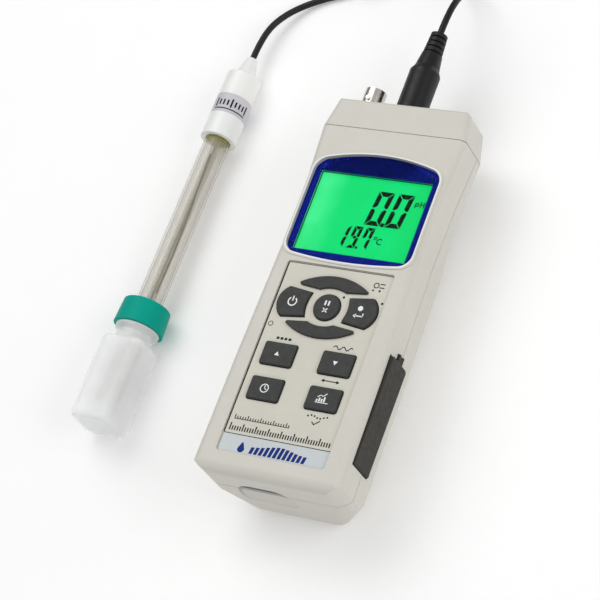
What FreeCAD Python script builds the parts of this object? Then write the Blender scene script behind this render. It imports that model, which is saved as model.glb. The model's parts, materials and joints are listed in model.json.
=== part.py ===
import FreeCAD, Part
import math
import os

os.makedirs("parts", exist_ok=True)

# Hand-held pH meter lying on its back, with its electrode in a storage bottle and the electrode's lead.
# Millimetres. +Z is up out of the display, +Y points at the head with the sockets, and the origin is
# under the middle of the case, on the plane that its back rests on.

Vector = FreeCAD.Vector

# ---- case
CASE_LENGTH = 177.0
CASE_THICKNESS = 45.0
HALF_LENGTH = CASE_LENGTH / 2
SEAM_Y = 74.6                 # joint between the two shells and the head cap
SEAM_GAP = 0.3
PARTING_Z = 29.5              # joint between the front shell and the rear shell
PARTING_GAP = 0.3
WALL = 2.2
FRONT_WALL = 2.6
FRONT_EDGE_RADIUS = 3.0
FLANK_EDGE_RADIUS = 6.0
BACK_EDGE_RADIUS = 7.0
END_CORNER_RADIUS = 9.0
# place along Y, half width, depth from the front face to the back
CASE_SECTIONS = [
    (-HALF_LENGTH, 34.2, 45.0),
    (-38.0, 33.6, 45.0),
    (6.0, 32.5, 45.0),
    (18.0, 32.2, 45.0),
    (50.0, 32.6, 37.0),
    (SEAM_Y, 34.2, 36.8),
    (HALF_LENGTH, 31.2, 35.4),
]
UPPER_DEPTH = 37.0
BACK_TRIM = 0.05              # taken off the back, so that the face it rests on is one plane
SIDE_Z_LOWER = 19.0           # height where the sides start to slope in, on the deep part
SIDE_Z_UPPER = 24.5           # and on the shallow part
BACK_HALF_LOWER = 21.0
BACK_HALF_UPPER = 22.0

# ---- display
WINDOW_HALF_WIDTH = 29.6
WINDOW_TOP = 62.5
WINDOW_TOP_SHOULDER = 59.0
WINDOW_TOP_SIDE = 52.5
WINDOW_BOTTOM = 11.3
WINDOW_BOTTOM_SHOULDER = 13.0
WINDOW_BOTTOM_SIDE = 18.8
WINDOW_CORNER_INSET = 5.0
WINDOW_DEPTH = 1.5
WINDOW_RIM_WIDTH = 1.3
WINDOW_RIM_HEIGHT = 0.4
DISPLAY_Y = 34.2
DISPLAY_HALF = (26.4, 18.9)
LCD_TOP_Z = 42.3
LCD_THICKNESS = 2.8
LCD_HALF = (28.0, 21.3)

# ---- keypad
RECESS_HALF_WIDTH = 25.3
RECESS_TOP = 9.0
RECESS_BOTTOM = -79.4
RECESS_DEPTH = 1.2
PANEL_THICKNESS = 0.25
STRIP_TOP = -71.0
KEY_TOP_Z = 45.3
KEY_BASE_Z = 40.4
KEY_FLANGE_TOP_Z = 41.4
KEY_FLANGE = 0.9
KEY_GAP = 0.35
PAD_CENTRE_Y = -9.7
HOLD_KEY_RADIUS = 5.9
SQUARE_KEY_SIZE = (14.8, 10.2)
SQUARE_KEY_X = 13.6
SQUARE_KEY_ROWS = (-33.8, -49.8)
SIDE_KEY_X = 15.4
KEY_CENTRES = [(x, PAD_CENTRE_Y) for x in (-SIDE_KEY_X, 0.0, SIDE_KEY_X)]
KEY_CENTRES += [(x, row) for row in SQUARE_KEY_ROWS for x in (-SQUARE_KEY_X, SQUARE_KEY_X)]

# ---- boards
BOARD_TOP_Z = 34.6
BOARD_THICKNESS = 1.6
BOARD_HALF_WIDTH = 28.5
BOARD_Y = (-78.0, 69.0)
BEEPER_PLACE = (-12.0, -22.0)

# ---- back
COVER_HALF_WIDTH = 24.0
COVER_Y = (-81.5, 15.0)
COVER_SIDE_Z = 6.3
COVER_GAP = 0.3
COVER_GRIP_DEPTH = 0.5
CELL_RADIUS = 7.25
CELL_CAN_LENGTH = 48.8
CELL_TIP_LENGTH = 1.0
CELL_PITCH = 14.7
CELL_Z = 10.3
CELL_ROWS = (-81.9, -31.2)
CONTACT_THICKNESS = 0.4
TRAY_HALF_WIDTH = 23.4
STAND_HALF_WIDTH = 14.0
STAND_LENGTH = 28.0
STAND_THICKNESS = 2.4
STAND_PIN_RADIUS = 1.1
STAND_BARREL_RADIUS = 2.0
STAND_HINGE = (0.0, 49.2, 10.38)
RAMP_SLOPE_DEG = math.degrees(math.atan2(8.0, 32.0))
CASE_SCREW_PLACES = [(-28.2, -78.5), (28.2, -78.5), (-27.0, 64.0), (27.0, 64.0)]
CASE_SCREW_SEAT_Z = 21.0

# ---- side ports, under a rubber cover on the +X side
PORT_Y = (-72.8, -24.0)
PORT_Z = (25.0, 40.3)
PORT_COVER_THICKNESS = 2.6
PORT_GAP = 0.3
PORT_FLOOR_X = 32.1
PORT_TAB_LENGTH = 3.4
PORT_TAB_Z = (29.6, 34.2)
PORT_HINGE = (33.55, -71.5)   # centre of the cover's round end, on its hinge line
DC_JACK_Y = -62.0
RESET_Y = -49.0
SERIAL_JACK_Y = -37.0
JACK_Z = 29.6
SERIAL_BORE_RADIUS = 1.8
DC_BORE_RADIUS = 3.0

# ---- memory card in the bottom end
CARD_X = -6.0
CARD_Z = 27.5
CARD_SIZE = (24.0, 32.0, 2.1)
CARD_END_Y = -87.6

# ---- sockets in the head
SOCKET_Z = 28.5
BNC_X = -24.2
BNC_RADIUS = 4.85
BNC_END_Y = 101.6
BNC_LUG_Y = BNC_END_Y - 5.5
BNC_PIN_END_Y = BNC_END_Y - 3.0
BNC_INSULATOR_END_Y = BNC_END_Y - 6.0
BNC_NUT_HALF = 5.5
DIN_X = -4.6
DIN_FLANGE_RADIUS = 8.6
DIN_SHELL_RADIUS = 6.6
DIN_PIN_CIRCLE = 3.9
DIN_PIN_RADIUS = 0.7
DIN_PIN_ANGLES = (-45.0, 0.0, 45.0, 90.0, -90.0)
PLUG_RADIUS = 6.9
PLUG_START_Y = 91.2
PLUG_SHOULDER_Y = 113.3
PLUG_NECK_Y = 123.0
PLUG_END_Y = 133.2
PROBE_JACK_X = 14.0
PROBE_JACK_BORE = 1.8
PROBE_JACK_DEPTH = 12.0

# ---- electrode set, laid out along its own axis from the bottle's floor
SET_X = -105.3
SET_Y = -68.7
BOTTLE_SIDE = 21.6
BOTTLE_CORNER = 5.0
BOTTLE_END_ROUNDING = 2.8
BOTTLE_LENGTH = 41.3
BOTTLE_WALL = 1.2
BOTTLE_NECK_RADIUS = 8.4
BOTTLE_BORE_RADIUS = 6.8
BOTTLE_BEAD_RADIUS = 10.0
BOTTLE_MOUTH = 57.0
CAP_START = 48.5
CAP_END = 60.2
CAP_RADIUS_START = 11.5
CAP_RADIUS_END = 10.9
CAP_BORE_RADIUS = 8.8
CAP_ROOF = 58.2
TUBE_RADIUS = 6.0
TUBE_INNER_RADIUS = 5.0
TUBE_START = 12.0
STEM_RADIUS = 2.2
BULB_RADIUS = 3.9
HEAD_START = 147.3
HEAD_END = 181.0
HEAD_RADIUS_START = 8.4
HEAD_RADIUS_END = 8.2
NECK_START = 182.8
NECK_END = 191.7
NECK_RADIUS_START = 4.8
NECK_RADIUS_END = 2.7
BAND_START = 158.5
BAND_END = 168.5
LEAD_RADIUS = 1.5
SET_TILT = math.atan((CAP_RADIUS_START - HEAD_RADIUS_END) / (HEAD_END - CAP_START))

# ---- lead: hand-laid route from the electrode to the coil, the coil, and on to the plug
LEAD_FROM_ELECTRODE = [
    (-105.3, 122.94, 7.93),
    (-105.3, 136.9, 7.6),
    (-100.6, 150.4, 4.6),
    (-89.0, 161.4, 1.55),
    (-73.3, 167.3, 1.5),
    (-58.2, 173.9, 1.5),
]
COIL_CENTRE = (-66.2, 192.8)
COIL_RADII = (20.5, 17.5, 14.5)
COIL_LAYERS = 3
LEAD_TO_PLUG = [
    (-58.4, 173.8, 7.5),
    (-46.6, 178.6, 4.4),
    (-33.0, 181.6, 1.5),
    (-17.4, 178.4, 4.6),
    (-6.6, 166.0, 16.0),
    (-4.6, 149.0, 28.5),
    (-4.6, 133.2, 28.5),
]


# ------------------------------------------------------------------ shape helpers

def save(name, shape):
    if not shape.isValid():
        print("INVALID", name)
    shape.exportStep(os.path.join("parts", name + ".step"))
    print(name, len(shape.Solids), "solid(s)", round(shape.Volume, 1))


def box(low, high):
    size = [b - a for a, b in zip(low, high)]
    return Part.makeBox(size[0], size[1], size[2], Vector(*low))


def cylinder(radius, start, end):
    axis = Vector(*end) - Vector(*start)
    return Part.makeCylinder(radius, axis.Length, Vector(*start), axis)


def cone(radius_start, radius_end, start, end):
    axis = Vector(*end) - Vector(*start)
    return Part.makeCone(radius_start, radius_end, axis.Length, Vector(*start), axis)


def tube(outer, inner, start, end):
    return cylinder(outer, start, end).cut(cylinder(inner, start, end))


def fuse(shapes):
    return shapes[0].multiFuse(shapes[1:]).removeSplitter()


def corner_arc(before, corner, after, radius):
    """Tangent points and middle of the arc that rounds a 2-D corner."""
    to_before = (before[0] - corner[0], before[1] - corner[1])
    to_after = (after[0] - corner[0], after[1] - corner[1])
    length_before = math.hypot(*to_before)
    length_after = math.hypot(*to_after)
    unit_before = (to_before[0] / length_before, to_before[1] / length_before)
    unit_after = (to_after[0] / length_after, to_after[1] / length_after)
    cosine = unit_before[0] * unit_after[0] + unit_before[1] * unit_after[1]
    half_angle = math.acos(max(-1.0, min(1.0, cosine))) / 2
    reach = radius / math.tan(half_angle)
    start = (corner[0] + unit_before[0] * reach, corner[1] + unit_before[1] * reach)
    end = (corner[0] + unit_after[0] * reach, corner[1] + unit_after[1] * reach)
    middle_way = (unit_before[0] + unit_after[0], unit_before[1] + unit_after[1])
    scale = (radius / math.sin(half_angle) - radius) / math.hypot(*middle_way)
    middle = (corner[0] + middle_way[0] * scale, corner[1] + middle_way[1] * scale)
    return start, middle, end


def rounded_wire(points, radii, place):
    """Closed wire of lines and corner arcs; place turns a 2-D point into a vector."""
    count = len(points)
    arcs = []
    for index in range(count):
        before = points[index - 1]
        after = points[(index + 1) % count]
        arcs.append(corner_arc(before, points[index], after, radii[index]))
    edges = []
    for index in range(count):
        start, middle, end = arcs[index]
        following = arcs[(index + 1) % count][0]
        edges.append(Part.Arc(place(*start), place(*middle), place(*end)).toShape())
        edges.append(Part.LineSegment(place(*end), place(*following)).toShape())
    return Part.Wire(edges)


def prism(wire, direction):
    return Part.Face(wire).extrude(Vector(*direction))


def flat_wire(points, radii, z):
    return rounded_wire(points, radii, lambda x, y: Vector(x, y, z))


def rounded_block(half_x, y_low, y_high, radius, z_low, z_high, centre_x=0.0):
    points = [
        (centre_x - half_x, y_low),
        (centre_x + half_x, y_low),
        (centre_x + half_x, y_high),
        (centre_x - half_x, y_high),
    ]
    return prism(flat_wire(points, [radius] * 4, z_low), (0, 0, z_high - z_low))


def inset_points(points, distances):
    """Move each side of a convex outline inward and meet the sides again."""
    count = len(points)
    lines = []
    for index in range(count):
        a = points[index]
        b = points[(index + 1) % count]
        length = math.hypot(b[0] - a[0], b[1] - a[1])
        normal = (-(b[1] - a[1]) / length, (b[0] - a[0]) / length)
        offset = normal[0] * a[0] + normal[1] * a[1] + distances[index]
        lines.append((normal, offset))
    result = []
    for index in range(count):
        (a1, b1), c1 = lines[index - 1]
        (a2, b2), c2 = lines[index]
        determinant = a1 * b2 - a2 * b1
        result.append(((c1 * b2 - c2 * b1) / determinant, (a1 * c2 - a2 * c1) / determinant))
    return result


# ------------------------------------------------------------------ case

def case_section(y, half_width, depth, front_inset, side_inset):
    """Cross-section of the case: flat front, upright sides, sloping flanks, flat back."""
    shallow = (CASE_THICKNESS - depth) / (CASE_THICKNESS - UPPER_DEPTH)
    side_z = SIDE_Z_LOWER + shallow * (SIDE_Z_UPPER - SIDE_Z_LOWER)
    back_half = BACK_HALF_LOWER + shallow * (BACK_HALF_UPPER - BACK_HALF_LOWER)
    back_z = CASE_THICKNESS - depth - BACK_TRIM
    points = [
        (-back_half, back_z),
        (back_half, back_z),
        (half_width, side_z),
        (half_width, CASE_THICKNESS),
        (-half_width, CASE_THICKNESS),
        (-half_width, side_z),
    ]
    sides = [side_inset, side_inset, side_inset, front_inset, side_inset, side_inset]
    radii = [
        BACK_EDGE_RADIUS,
        BACK_EDGE_RADIUS,
        FLANK_EDGE_RADIUS,
        FRONT_EDGE_RADIUS,
        FRONT_EDGE_RADIUS,
        FLANK_EDGE_RADIUS,
    ]
    radii = [max(radius - side_inset, 0.8) for radius in radii]
    return rounded_wire(inset_points(points, sides), radii, lambda x, z: Vector(x, y, z))


def case_loft(front_inset, side_inset):
    wires = [case_section(y, half, depth, front_inset, side_inset) for y, half, depth in CASE_SECTIONS]
    return Part.makeLoft(wires, True, True)


def plan_outline(inset):
    """Plan of the case, which rounds its corners at both ends."""
    half = 36.0 - inset
    end = HALF_LENGTH - inset
    head_half = 31.6 - inset
    plan = flat_wire(
        [(-half, -end), (half, -end), (half, 70.0), (head_half, end), (-head_half, end), (-half, 70.0)],
        [10.0, 10.0, 20.0, 3.0, 3.0, 20.0],
        -10.0,
    )
    return prism(plan, (0, 0, 80.0))


def side_outline(inset, front_inset):
    """Side view of the case: soft lower end, crisper head."""
    end = HALF_LENGTH - inset
    top = CASE_THICKNESS - front_inset
    head_back = CASE_THICKNESS - 35.4 + inset
    points = [
        (-end, inset),
        (18.0, inset),
        (50.0, CASE_THICKNESS - UPPER_DEPTH + inset - 0.5),
        (end, head_back - 0.5),
        (end, top),
        (-end, top),
    ]
    radii = [9.5 - inset, 4.0, 4.0, 5.0, 1.5, 4.5 - inset / 2]
    wire = rounded_wire(points, radii, lambda y, z: Vector(-50.0, y, z))
    return prism(wire, (100.0, 0, 0))


def end_corner(inset, side):
    """What rounds the edge between the lower end and one sloping flank."""
    slope = math.atan2(CASE_SECTIONS[0][1] - BACK_HALF_LOWER, SIDE_Z_LOWER)
    flank = BACK_HALF_LOWER * math.cos(slope) - inset
    radius = END_CORNER_RADIUS - inset
    middle = (flank - radius, -HALF_LENGTH + inset + radius)
    block = box((middle[0], -100, -15), (flank + 20, middle[1], 60))
    corner = block.cut(cylinder(radius, (middle[0], middle[1], -15), (middle[0], middle[1], 60)))
    corner.rotate(Vector(0, 0, 0), Vector(0, 1, 0), math.degrees(slope))
    return corner if side > 0 else corner.mirror(Vector(0, 0, 0), Vector(1, 0, 0))


def case_solid(front_inset, side_inset):
    loft = case_loft(front_inset, side_inset)
    solid = loft.common(plan_outline(side_inset)).common(side_outline(side_inset, front_inset))
    return solid.cut(end_corner(side_inset, 1)).cut(end_corner(side_inset, -1))


def window_wire(grow, z):
    """Arched outline of the display window."""
    half = WINDOW_HALF_WIDTH + grow
    shoulder = half - WINDOW_CORNER_INSET
    blend = 0.3 * WINDOW_CORNER_INSET
    top_mid = (WINDOW_TOP_SHOULDER + WINDOW_TOP_SIDE) / 2 + 0.19 * WINDOW_CORNER_INSET + grow
    low_mid = (WINDOW_BOTTOM_SHOULDER + WINDOW_BOTTOM_SIDE) / 2 - 0.19 * WINDOW_CORNER_INSET - grow
    top_side = WINDOW_TOP_SIDE
    low_side = WINDOW_BOTTOM_SIDE
    top_shoulder = WINDOW_TOP_SHOULDER + grow
    low_shoulder = WINDOW_BOTTOM_SHOULDER - grow

    def arc(a, b, c):
        return Part.Arc(Vector(a[0], a[1], z), Vector(b[0], b[1], z), Vector(c[0], c[1], z)).toShape()

    def line(a, b):
        return Part.LineSegment(Vector(a[0], a[1], z), Vector(b[0], b[1], z)).toShape()

    return Part.Wire([
        arc((-shoulder, top_shoulder), (0, WINDOW_TOP + grow), (shoulder, top_shoulder)),
        arc((shoulder, top_shoulder), (half - blend, top_mid), (half, top_side)),
        line((half, top_side), (half, low_side)),
        arc((half, low_side), (half - blend, low_mid), (shoulder, low_shoulder)),
        arc((shoulder, low_shoulder), (0, WINDOW_BOTTOM - grow), (-shoulder, low_shoulder)),
        arc((-shoulder, low_shoulder), (blend - half, low_mid), (-half, low_side)),
        line((-half, low_side), (-half, top_side)),
        arc((-half, top_side), (blend - half, top_mid), (-shoulder, top_shoulder)),
    ])


def display_block(half, grow, z_low, z_high):
    return box(
        (-half[0] - grow, DISPLAY_Y - half[1] - grow, z_low),
        (half[0] + grow, DISPLAY_Y + half[1] + grow, z_high),
    )


# ------------------------------------------------------------------ keys

def arc_key_wire(sign, grow, z):
    """Wing-shaped key beside the round one: hollow inner side, bulging outer side."""
    inner_x = 8.7 - grow
    hollow_x = 9.8 - grow
    outer_x = 19.4 + grow * 0.7
    bulge_x = 23.3 + grow
    inner_rise = 5.5 + grow
    outer_rise = 6.9 + grow

    def point(x, rise):
        return Vector(sign * x, PAD_CENTRE_Y + rise, z)

    return Part.Wire([
        Part.LineSegment(point(inner_x, inner_rise), point(outer_x, outer_rise)).toShape(),
        Part.Arc(point(outer_x, outer_rise), point(bulge_x, 0), point(outer_x, -outer_rise)).toShape(),
        Part.LineSegment(point(outer_x, -outer_rise), point(inner_x, -inner_rise)).toShape(),
        Part.Arc(point(inner_x, -inner_rise), point(hollow_x, 0), point(inner_x, inner_rise)).toShape(),
    ])


def arc_pad_wire(sign, grow, z):
    """Crescent pad above or below the round key."""
    tip_x = 16.0 + grow
    notch_x = 6.1 - grow * 0.5

    def point(x, rise):
        return Vector(x, PAD_CENTRE_Y + sign * rise, z)

    return Part.Wire([
        Part.Arc(point(-tip_x, 9.5), point(0, 14.2 + grow), point(tip_x, 9.5)).toShape(),
        Part.LineSegment(point(tip_x, 9.5), point(tip_x - 0.5, 8.6 - grow)).toShape(),
        Part.LineSegment(point(tip_x - 0.5, 8.6 - grow), point(notch_x, 7.6 - grow)).toShape(),
        Part.Arc(point(notch_x, 7.6 - grow), point(0, 8.9 - grow), point(-notch_x, 7.6 - grow)).toShape(),
        Part.LineSegment(point(-notch_x, 7.6 - grow), point(0.5 - tip_x, 8.6 - grow)).toShape(),
        Part.LineSegment(point(0.5 - tip_x, 8.6 - grow), point(-tip_x, 9.5)).toShape(),
    ])


def round_key_wire(grow, z):
    circle = Part.Circle(Vector(0, PAD_CENTRE_Y, z), Vector(0, 0, 1), HOLD_KEY_RADIUS + grow)
    return Part.Wire([circle.toShape()])


def square_key_wire(x, y, grow, z):
    half_x = SQUARE_KEY_SIZE[0] / 2 + grow
    half_y = SQUARE_KEY_SIZE[1] / 2 + grow
    points = [(x - half_x, y - half_y), (x + half_x, y - half_y), (x + half_x, y + half_y), (x - half_x, y + half_y)]
    return flat_wire(points, [1.0 + grow] * 4, z)


KEY_WIRES = {
    "power_key": lambda grow, z: arc_key_wire(-1, grow, z),
    "hold_key": round_key_wire,
    "record_key": lambda grow, z: arc_key_wire(1, grow, z),
    "up_key": lambda grow, z: square_key_wire(-SQUARE_KEY_X, SQUARE_KEY_ROWS[0], grow, z),
    "down_key": lambda grow, z: square_key_wire(SQUARE_KEY_X, SQUARE_KEY_ROWS[0], grow, z),
    "time_key": lambda grow, z: square_key_wire(-SQUARE_KEY_X, SQUARE_KEY_ROWS[1], grow, z),
    "set_key": lambda grow, z: square_key_wire(SQUARE_KEY_X, SQUARE_KEY_ROWS[1], grow, z),
}


def key_prism(wire_maker, grow, z_low, z_high):
    return prism(wire_maker(grow, z_low), (0, 0, z_high - z_low))


def upright_edges(shape):
    return [edge for edge in shape.Edges if abs(edge.tangentAt(edge.FirstParameter).z) > 0.99]


def make_keys():
    for name, wire_maker in KEY_WIRES.items():
        body = key_prism(wire_maker, 0.0, KEY_FLANGE_TOP_Z - 0.2, KEY_TOP_Z)
        corners = upright_edges(body)
        if name in ("power_key", "record_key"):
            body = body.makeFillet(0.8, corners)
        top_edges = [edge for edge in body.Edges if edge.BoundBox.ZMin > KEY_TOP_Z - 0.01]
        body = body.makeFillet(0.5, top_edges)
        flange = key_prism(wire_maker, KEY_FLANGE, KEY_BASE_Z, KEY_FLANGE_TOP_Z)
        save(name, body.fuse(flange).removeSplitter())


def make_arc_pads():
    floor_z = CASE_THICKNESS - RECESS_DEPTH
    for name, sign in (("upper_pad", 1), ("lower_pad", -1)):
        pad = prism(arc_pad_wire(sign, 0.0, floor_z), (0, 0, 1.4))
        top_edges = [edge for edge in pad.Edges if edge.BoundBox.ZMin > floor_z + 1.39]
        save(name, pad.makeFillet(0.3, top_edges))


# ------------------------------------------------------------------ shells

def screw_boss(x, y, z_low, z_high, radius):
    return cylinder(radius, (x, y, z_low), (x, y, z_high))


def card_slot(grow, y_low, y_high):
    half = CARD_SIZE[0] / 2 + grow
    rise = CARD_SIZE[2] / 2 + grow
    return box((CARD_X - half, y_low, CARD_Z - rise), (CARD_X + half, y_high, CARD_Z + rise))


def finger_scoop():
    """Arched thumb recess around the card slot, deepest under its upper edge."""
    outline = rounded_wire(
        [(CARD_X - 13.0, 19.0), (CARD_X + 13.0, 19.0), (CARD_X + 13.0, 33.4), (CARD_X - 13.0, 33.4)],
        [3.0, 3.0, 8.5, 8.5],
        lambda x, z: Vector(x, -95.0, z),
    )
    wedge = Part.Wire([
        Part.LineSegment(Vector(-50, -95, 18), Vector(-50, -HALF_LENGTH, 18.5)).toShape(),
        Part.LineSegment(Vector(-50, -HALF_LENGTH, 18.5), Vector(-50, -HALF_LENGTH + 2.6, 34.5)).toShape(),
        Part.LineSegment(Vector(-50, -HALF_LENGTH + 2.6, 34.5), Vector(-50, -95, 34.5)).toShape(),
        Part.LineSegment(Vector(-50, -95, 34.5), Vector(-50, -95, 18)).toShape(),
    ])
    return prism(outline, (0, 20, 0)).common(prism(wedge, (100, 0, 0)))


def port_pocket(grow):
    """Pocket for the rubber cover in the +X side, with its finger notch."""
    main = box((PORT_FLOOR_X, PORT_Y[0] - grow, PORT_Z[0] - grow), (40, PORT_Y[1] + grow, PORT_Z[1] + grow))
    tab_end = PORT_Y[1] + PORT_TAB_LENGTH + grow
    tab = box((PORT_FLOOR_X, PORT_Y[1], PORT_TAB_Z[0] - grow), (40, tab_end, PORT_TAB_Z[1] + grow))
    return main.fuse(tab)


def port_holes():
    holes = [
        cylinder(DC_BORE_RADIUS + 0.4, (25, DC_JACK_Y, JACK_Z), (40, DC_JACK_Y, JACK_Z)),
        cylinder(SERIAL_BORE_RADIUS + 0.9, (25, SERIAL_JACK_Y, JACK_Z), (40, SERIAL_JACK_Y, JACK_Z)),
        cylinder(1.9, (25, RESET_Y, JACK_Z), (40, RESET_Y, JACK_Z)),
    ]
    return fuse(holes)


def stand_placed(shape):
    """Turn a shape laid out from the stand's hinge line along -Y onto the sloping back."""
    placed = shape.copy()
    placed.rotate(Vector(0, 0, 0), Vector(1, 0, 0), RAMP_SLOPE_DEG)
    placed.translate(Vector(*STAND_HINGE))
    return placed


def stand_pocket():
    half = STAND_HALF_WIDTH + 0.4
    plate = box((-half, -STAND_LENGTH - 0.5, -6.0), (half, STAND_BARREL_RADIUS + 0.4, STAND_BARREL_RADIUS + 0.4))
    finger = cylinder(4.5, (0, -STAND_LENGTH - 0.3, -8.0), (0, -STAND_LENGTH - 0.3, -0.9))
    return stand_placed(plate.fuse(finger))


def stand_well():
    """Walls of the pocket inside the rear shell."""
    half = STAND_HALF_WIDTH + 2.0
    return stand_placed(box((-half, -STAND_LENGTH - 1.9, -6.0), (half, 4.2, STAND_BARREL_RADIUS + 1.6)))


def stand_pin_solid(reach):
    return stand_placed(cylinder(STAND_PIN_RADIUS, (-reach, 0, 0), (reach, 0, 0)))


def make_shells(outer, inner):
    split = PARTING_GAP / 2
    seam = SEAM_Y - SEAM_GAP / 2
    shell = outer.cut(inner)
    tongue_outer = case_solid(FRONT_WALL + 0.15, WALL + 0.15)
    tongue_inner = case_solid(FRONT_WALL + 1.3, WALL + 1.3)
    tongue = tongue_outer.cut(tongue_inner)

    side_pad = outer.common(box((29.2, PORT_Y[0] - 2, PORT_Z[0] - 3), (40, PORT_Y[1] + 8, 41.8)))
    end_pad = outer.common(box((CARD_X - 16, -90, 20.5), (CARD_X + 16, -83.2, 37)))
    cuts = [
        port_pocket(PORT_GAP),
        port_holes(),
        finger_scoop(),
        card_slot(0.35, -95, -80),
    ]

    # front shell
    front_half = box((-50, -100, PARTING_Z + split), (50, seam, 60))
    front = [shell.common(front_half), side_pad.common(front_half), end_pad.common(front_half)]
    rim = prism(window_wire(WINDOW_RIM_WIDTH, CASE_THICKNESS - 0.3), (0, 0, WINDOW_RIM_HEIGHT + 0.3))
    front.append(rim)
    for x, y in CASE_SCREW_PLACES:
        front.append(screw_boss(x, y, PARTING_Z + 1.0, CASE_THICKNESS - FRONT_WALL + 0.5, 3.0))
    front_shell = fuse(front)
    for cut in cuts:
        front_shell = front_shell.cut(cut)
    front_shell = front_shell.cut(prism(window_wire(0.15, CASE_THICKNESS - WINDOW_DEPTH), (0, 0, 5)))
    front_shell = front_shell.cut(display_block(DISPLAY_HALF, 0.7, 38, 46))
    recess = rounded_block(RECESS_HALF_WIDTH, RECESS_BOTTOM, RECESS_TOP, 1.5, CASE_THICKNESS - RECESS_DEPTH, 50)
    front_shell = front_shell.cut(recess)
    for wire_maker in KEY_WIRES.values():
        front_shell = front_shell.cut(key_prism(wire_maker, KEY_GAP, 38, 46))
    for x, y in CASE_SCREW_PLACES:
        front_shell = front_shell.cut(cylinder(1.35, (x, y, PARTING_Z), (x, y, 41.5)))
    save("front_shell", front_shell)

    # rear shell
    rear_half = box((-50, -100, -10), (50, seam, PARTING_Z - split))
    rear = [shell.common(rear_half), side_pad.common(rear_half), end_pad.common(rear_half)]
    lip_zone = box((-50, -100, PARTING_Z - 2.5), (50, 70.0, PARTING_Z + 2.0))
    side_gap = box((26, PORT_Y[0] - 5, 20), (50, PORT_Y[1] + 9, 45))
    end_gap = box((CARD_X - 17, -90, 17), (CARD_X + 17, -82.5, 45))
    lip = tongue.common(lip_zone).cut(side_gap).cut(end_gap)
    for x, y in CASE_SCREW_PLACES:
        lip = lip.cut(screw_boss(x, y, PARTING_Z + split, PARTING_Z + 5.0, 3.3))
    rear.append(lip)
    root_zone = box((-50, -100, PARTING_Z - 2.5), (50, 70.0, PARTING_Z - split))
    root = case_solid(FRONT_WALL, WALL - 0.2).cut(tongue_inner).common(root_zone)
    rear.append(root.cut(side_gap).cut(end_gap))
    rear.append(outer.common(stand_well()))
    for x, y in CASE_SCREW_PLACES:
        rear.append(outer.common(screw_boss(x, y, -5, CASE_SCREW_SEAT_Z + 4.0, 4.6)))
        rear.append(screw_boss(x, y, CASE_SCREW_SEAT_Z, PARTING_Z + 0.8, 3.0))
    rear_shell = fuse(rear)
    for cut in cuts:
        rear_shell = rear_shell.cut(cut)
    rear_shell = rear_shell.cut(stand_pocket())
    rear_shell = rear_shell.cut(box(
        (-COVER_HALF_WIDTH, COVER_Y[0], -5), (COVER_HALF_WIDTH, COVER_Y[1], COVER_SIDE_Z)))
    rear_shell = rear_shell.cut(stand_pin_solid(STAND_HALF_WIDTH + 1.8))
    for x, y in CASE_SCREW_PLACES:
        rear_shell = rear_shell.cut(cylinder(3.2, (x, y, -5), (x, y, CASE_SCREW_SEAT_Z)))
        rear_shell = rear_shell.cut(cylinder(1.7, (x, y, 0), (x, y, PARTING_Z + 2)))
    save("rear_shell", rear_shell)

    # head cap, with the tongue that enters the shells
    head_zone = box((-50, SEAM_Y + SEAM_GAP / 2, -10), (50, 100, 60))
    bridge_zone = box((-50, SEAM_Y, -10), (50, SEAM_Y + 3.0, 60))
    tongue_zone = box((-50, 71.2, -10), (50, SEAM_Y + 1.0, 60))
    bridge = outer.cut(tongue_inner).common(bridge_zone).common(head_zone)
    head = fuse([shell.common(head_zone), tongue.common(tongue_zone), bridge])
    end_face = (70, 95)
    for x, radius in ((BNC_X, 4.9), (DIN_X, DIN_FLANGE_RADIUS - 1.2), (PROBE_JACK_X, 3.05)):
        head = head.cut(cylinder(radius, (x, end_face[0], SOCKET_Z), (x, end_face[1], SOCKET_Z)))
    save("head_cap", head)


# ------------------------------------------------------------------ display and boards

def make_display():
    top = CASE_THICKNESS
    border_z = top - WINDOW_DEPTH
    window = prism(window_wire(0.0, border_z + 0.2), (0, 0, WINDOW_DEPTH - 0.2))
    save("display_window", window)
    border = prism(window_wire(0.0, border_z), (0, 0, 0.2))
    save("window_border", border.cut(display_block(DISPLAY_HALF, 0.0, 40, 46)))
    lcd_low = LCD_TOP_Z - LCD_THICKNESS
    save("lcd_glass", display_block(LCD_HALF, 0.0, lcd_low, LCD_TOP_Z))
    light_half = (LCD_HALF[0] - 1.0, LCD_HALF[1] - 4.0)
    save("backlight", display_block(light_half, 0.0, lcd_low - 3.0, lcd_low))
    frame = display_block(LCD_HALF, 1.2, BOARD_TOP_Z, LCD_TOP_Z).cut(display_block(LCD_HALF, 0.05, 30, 46))
    save("lcd_frame", frame)
    strips = []
    for sign in (-1, 1):
        y = DISPLAY_Y + sign * (LCD_HALF[1] - 2.0)
        strips.append(box((-25, y - 1.2, BOARD_TOP_Z), (25, y + 1.2, lcd_low)))
    save("zebra_strips", Part.makeCompound(strips))


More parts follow.
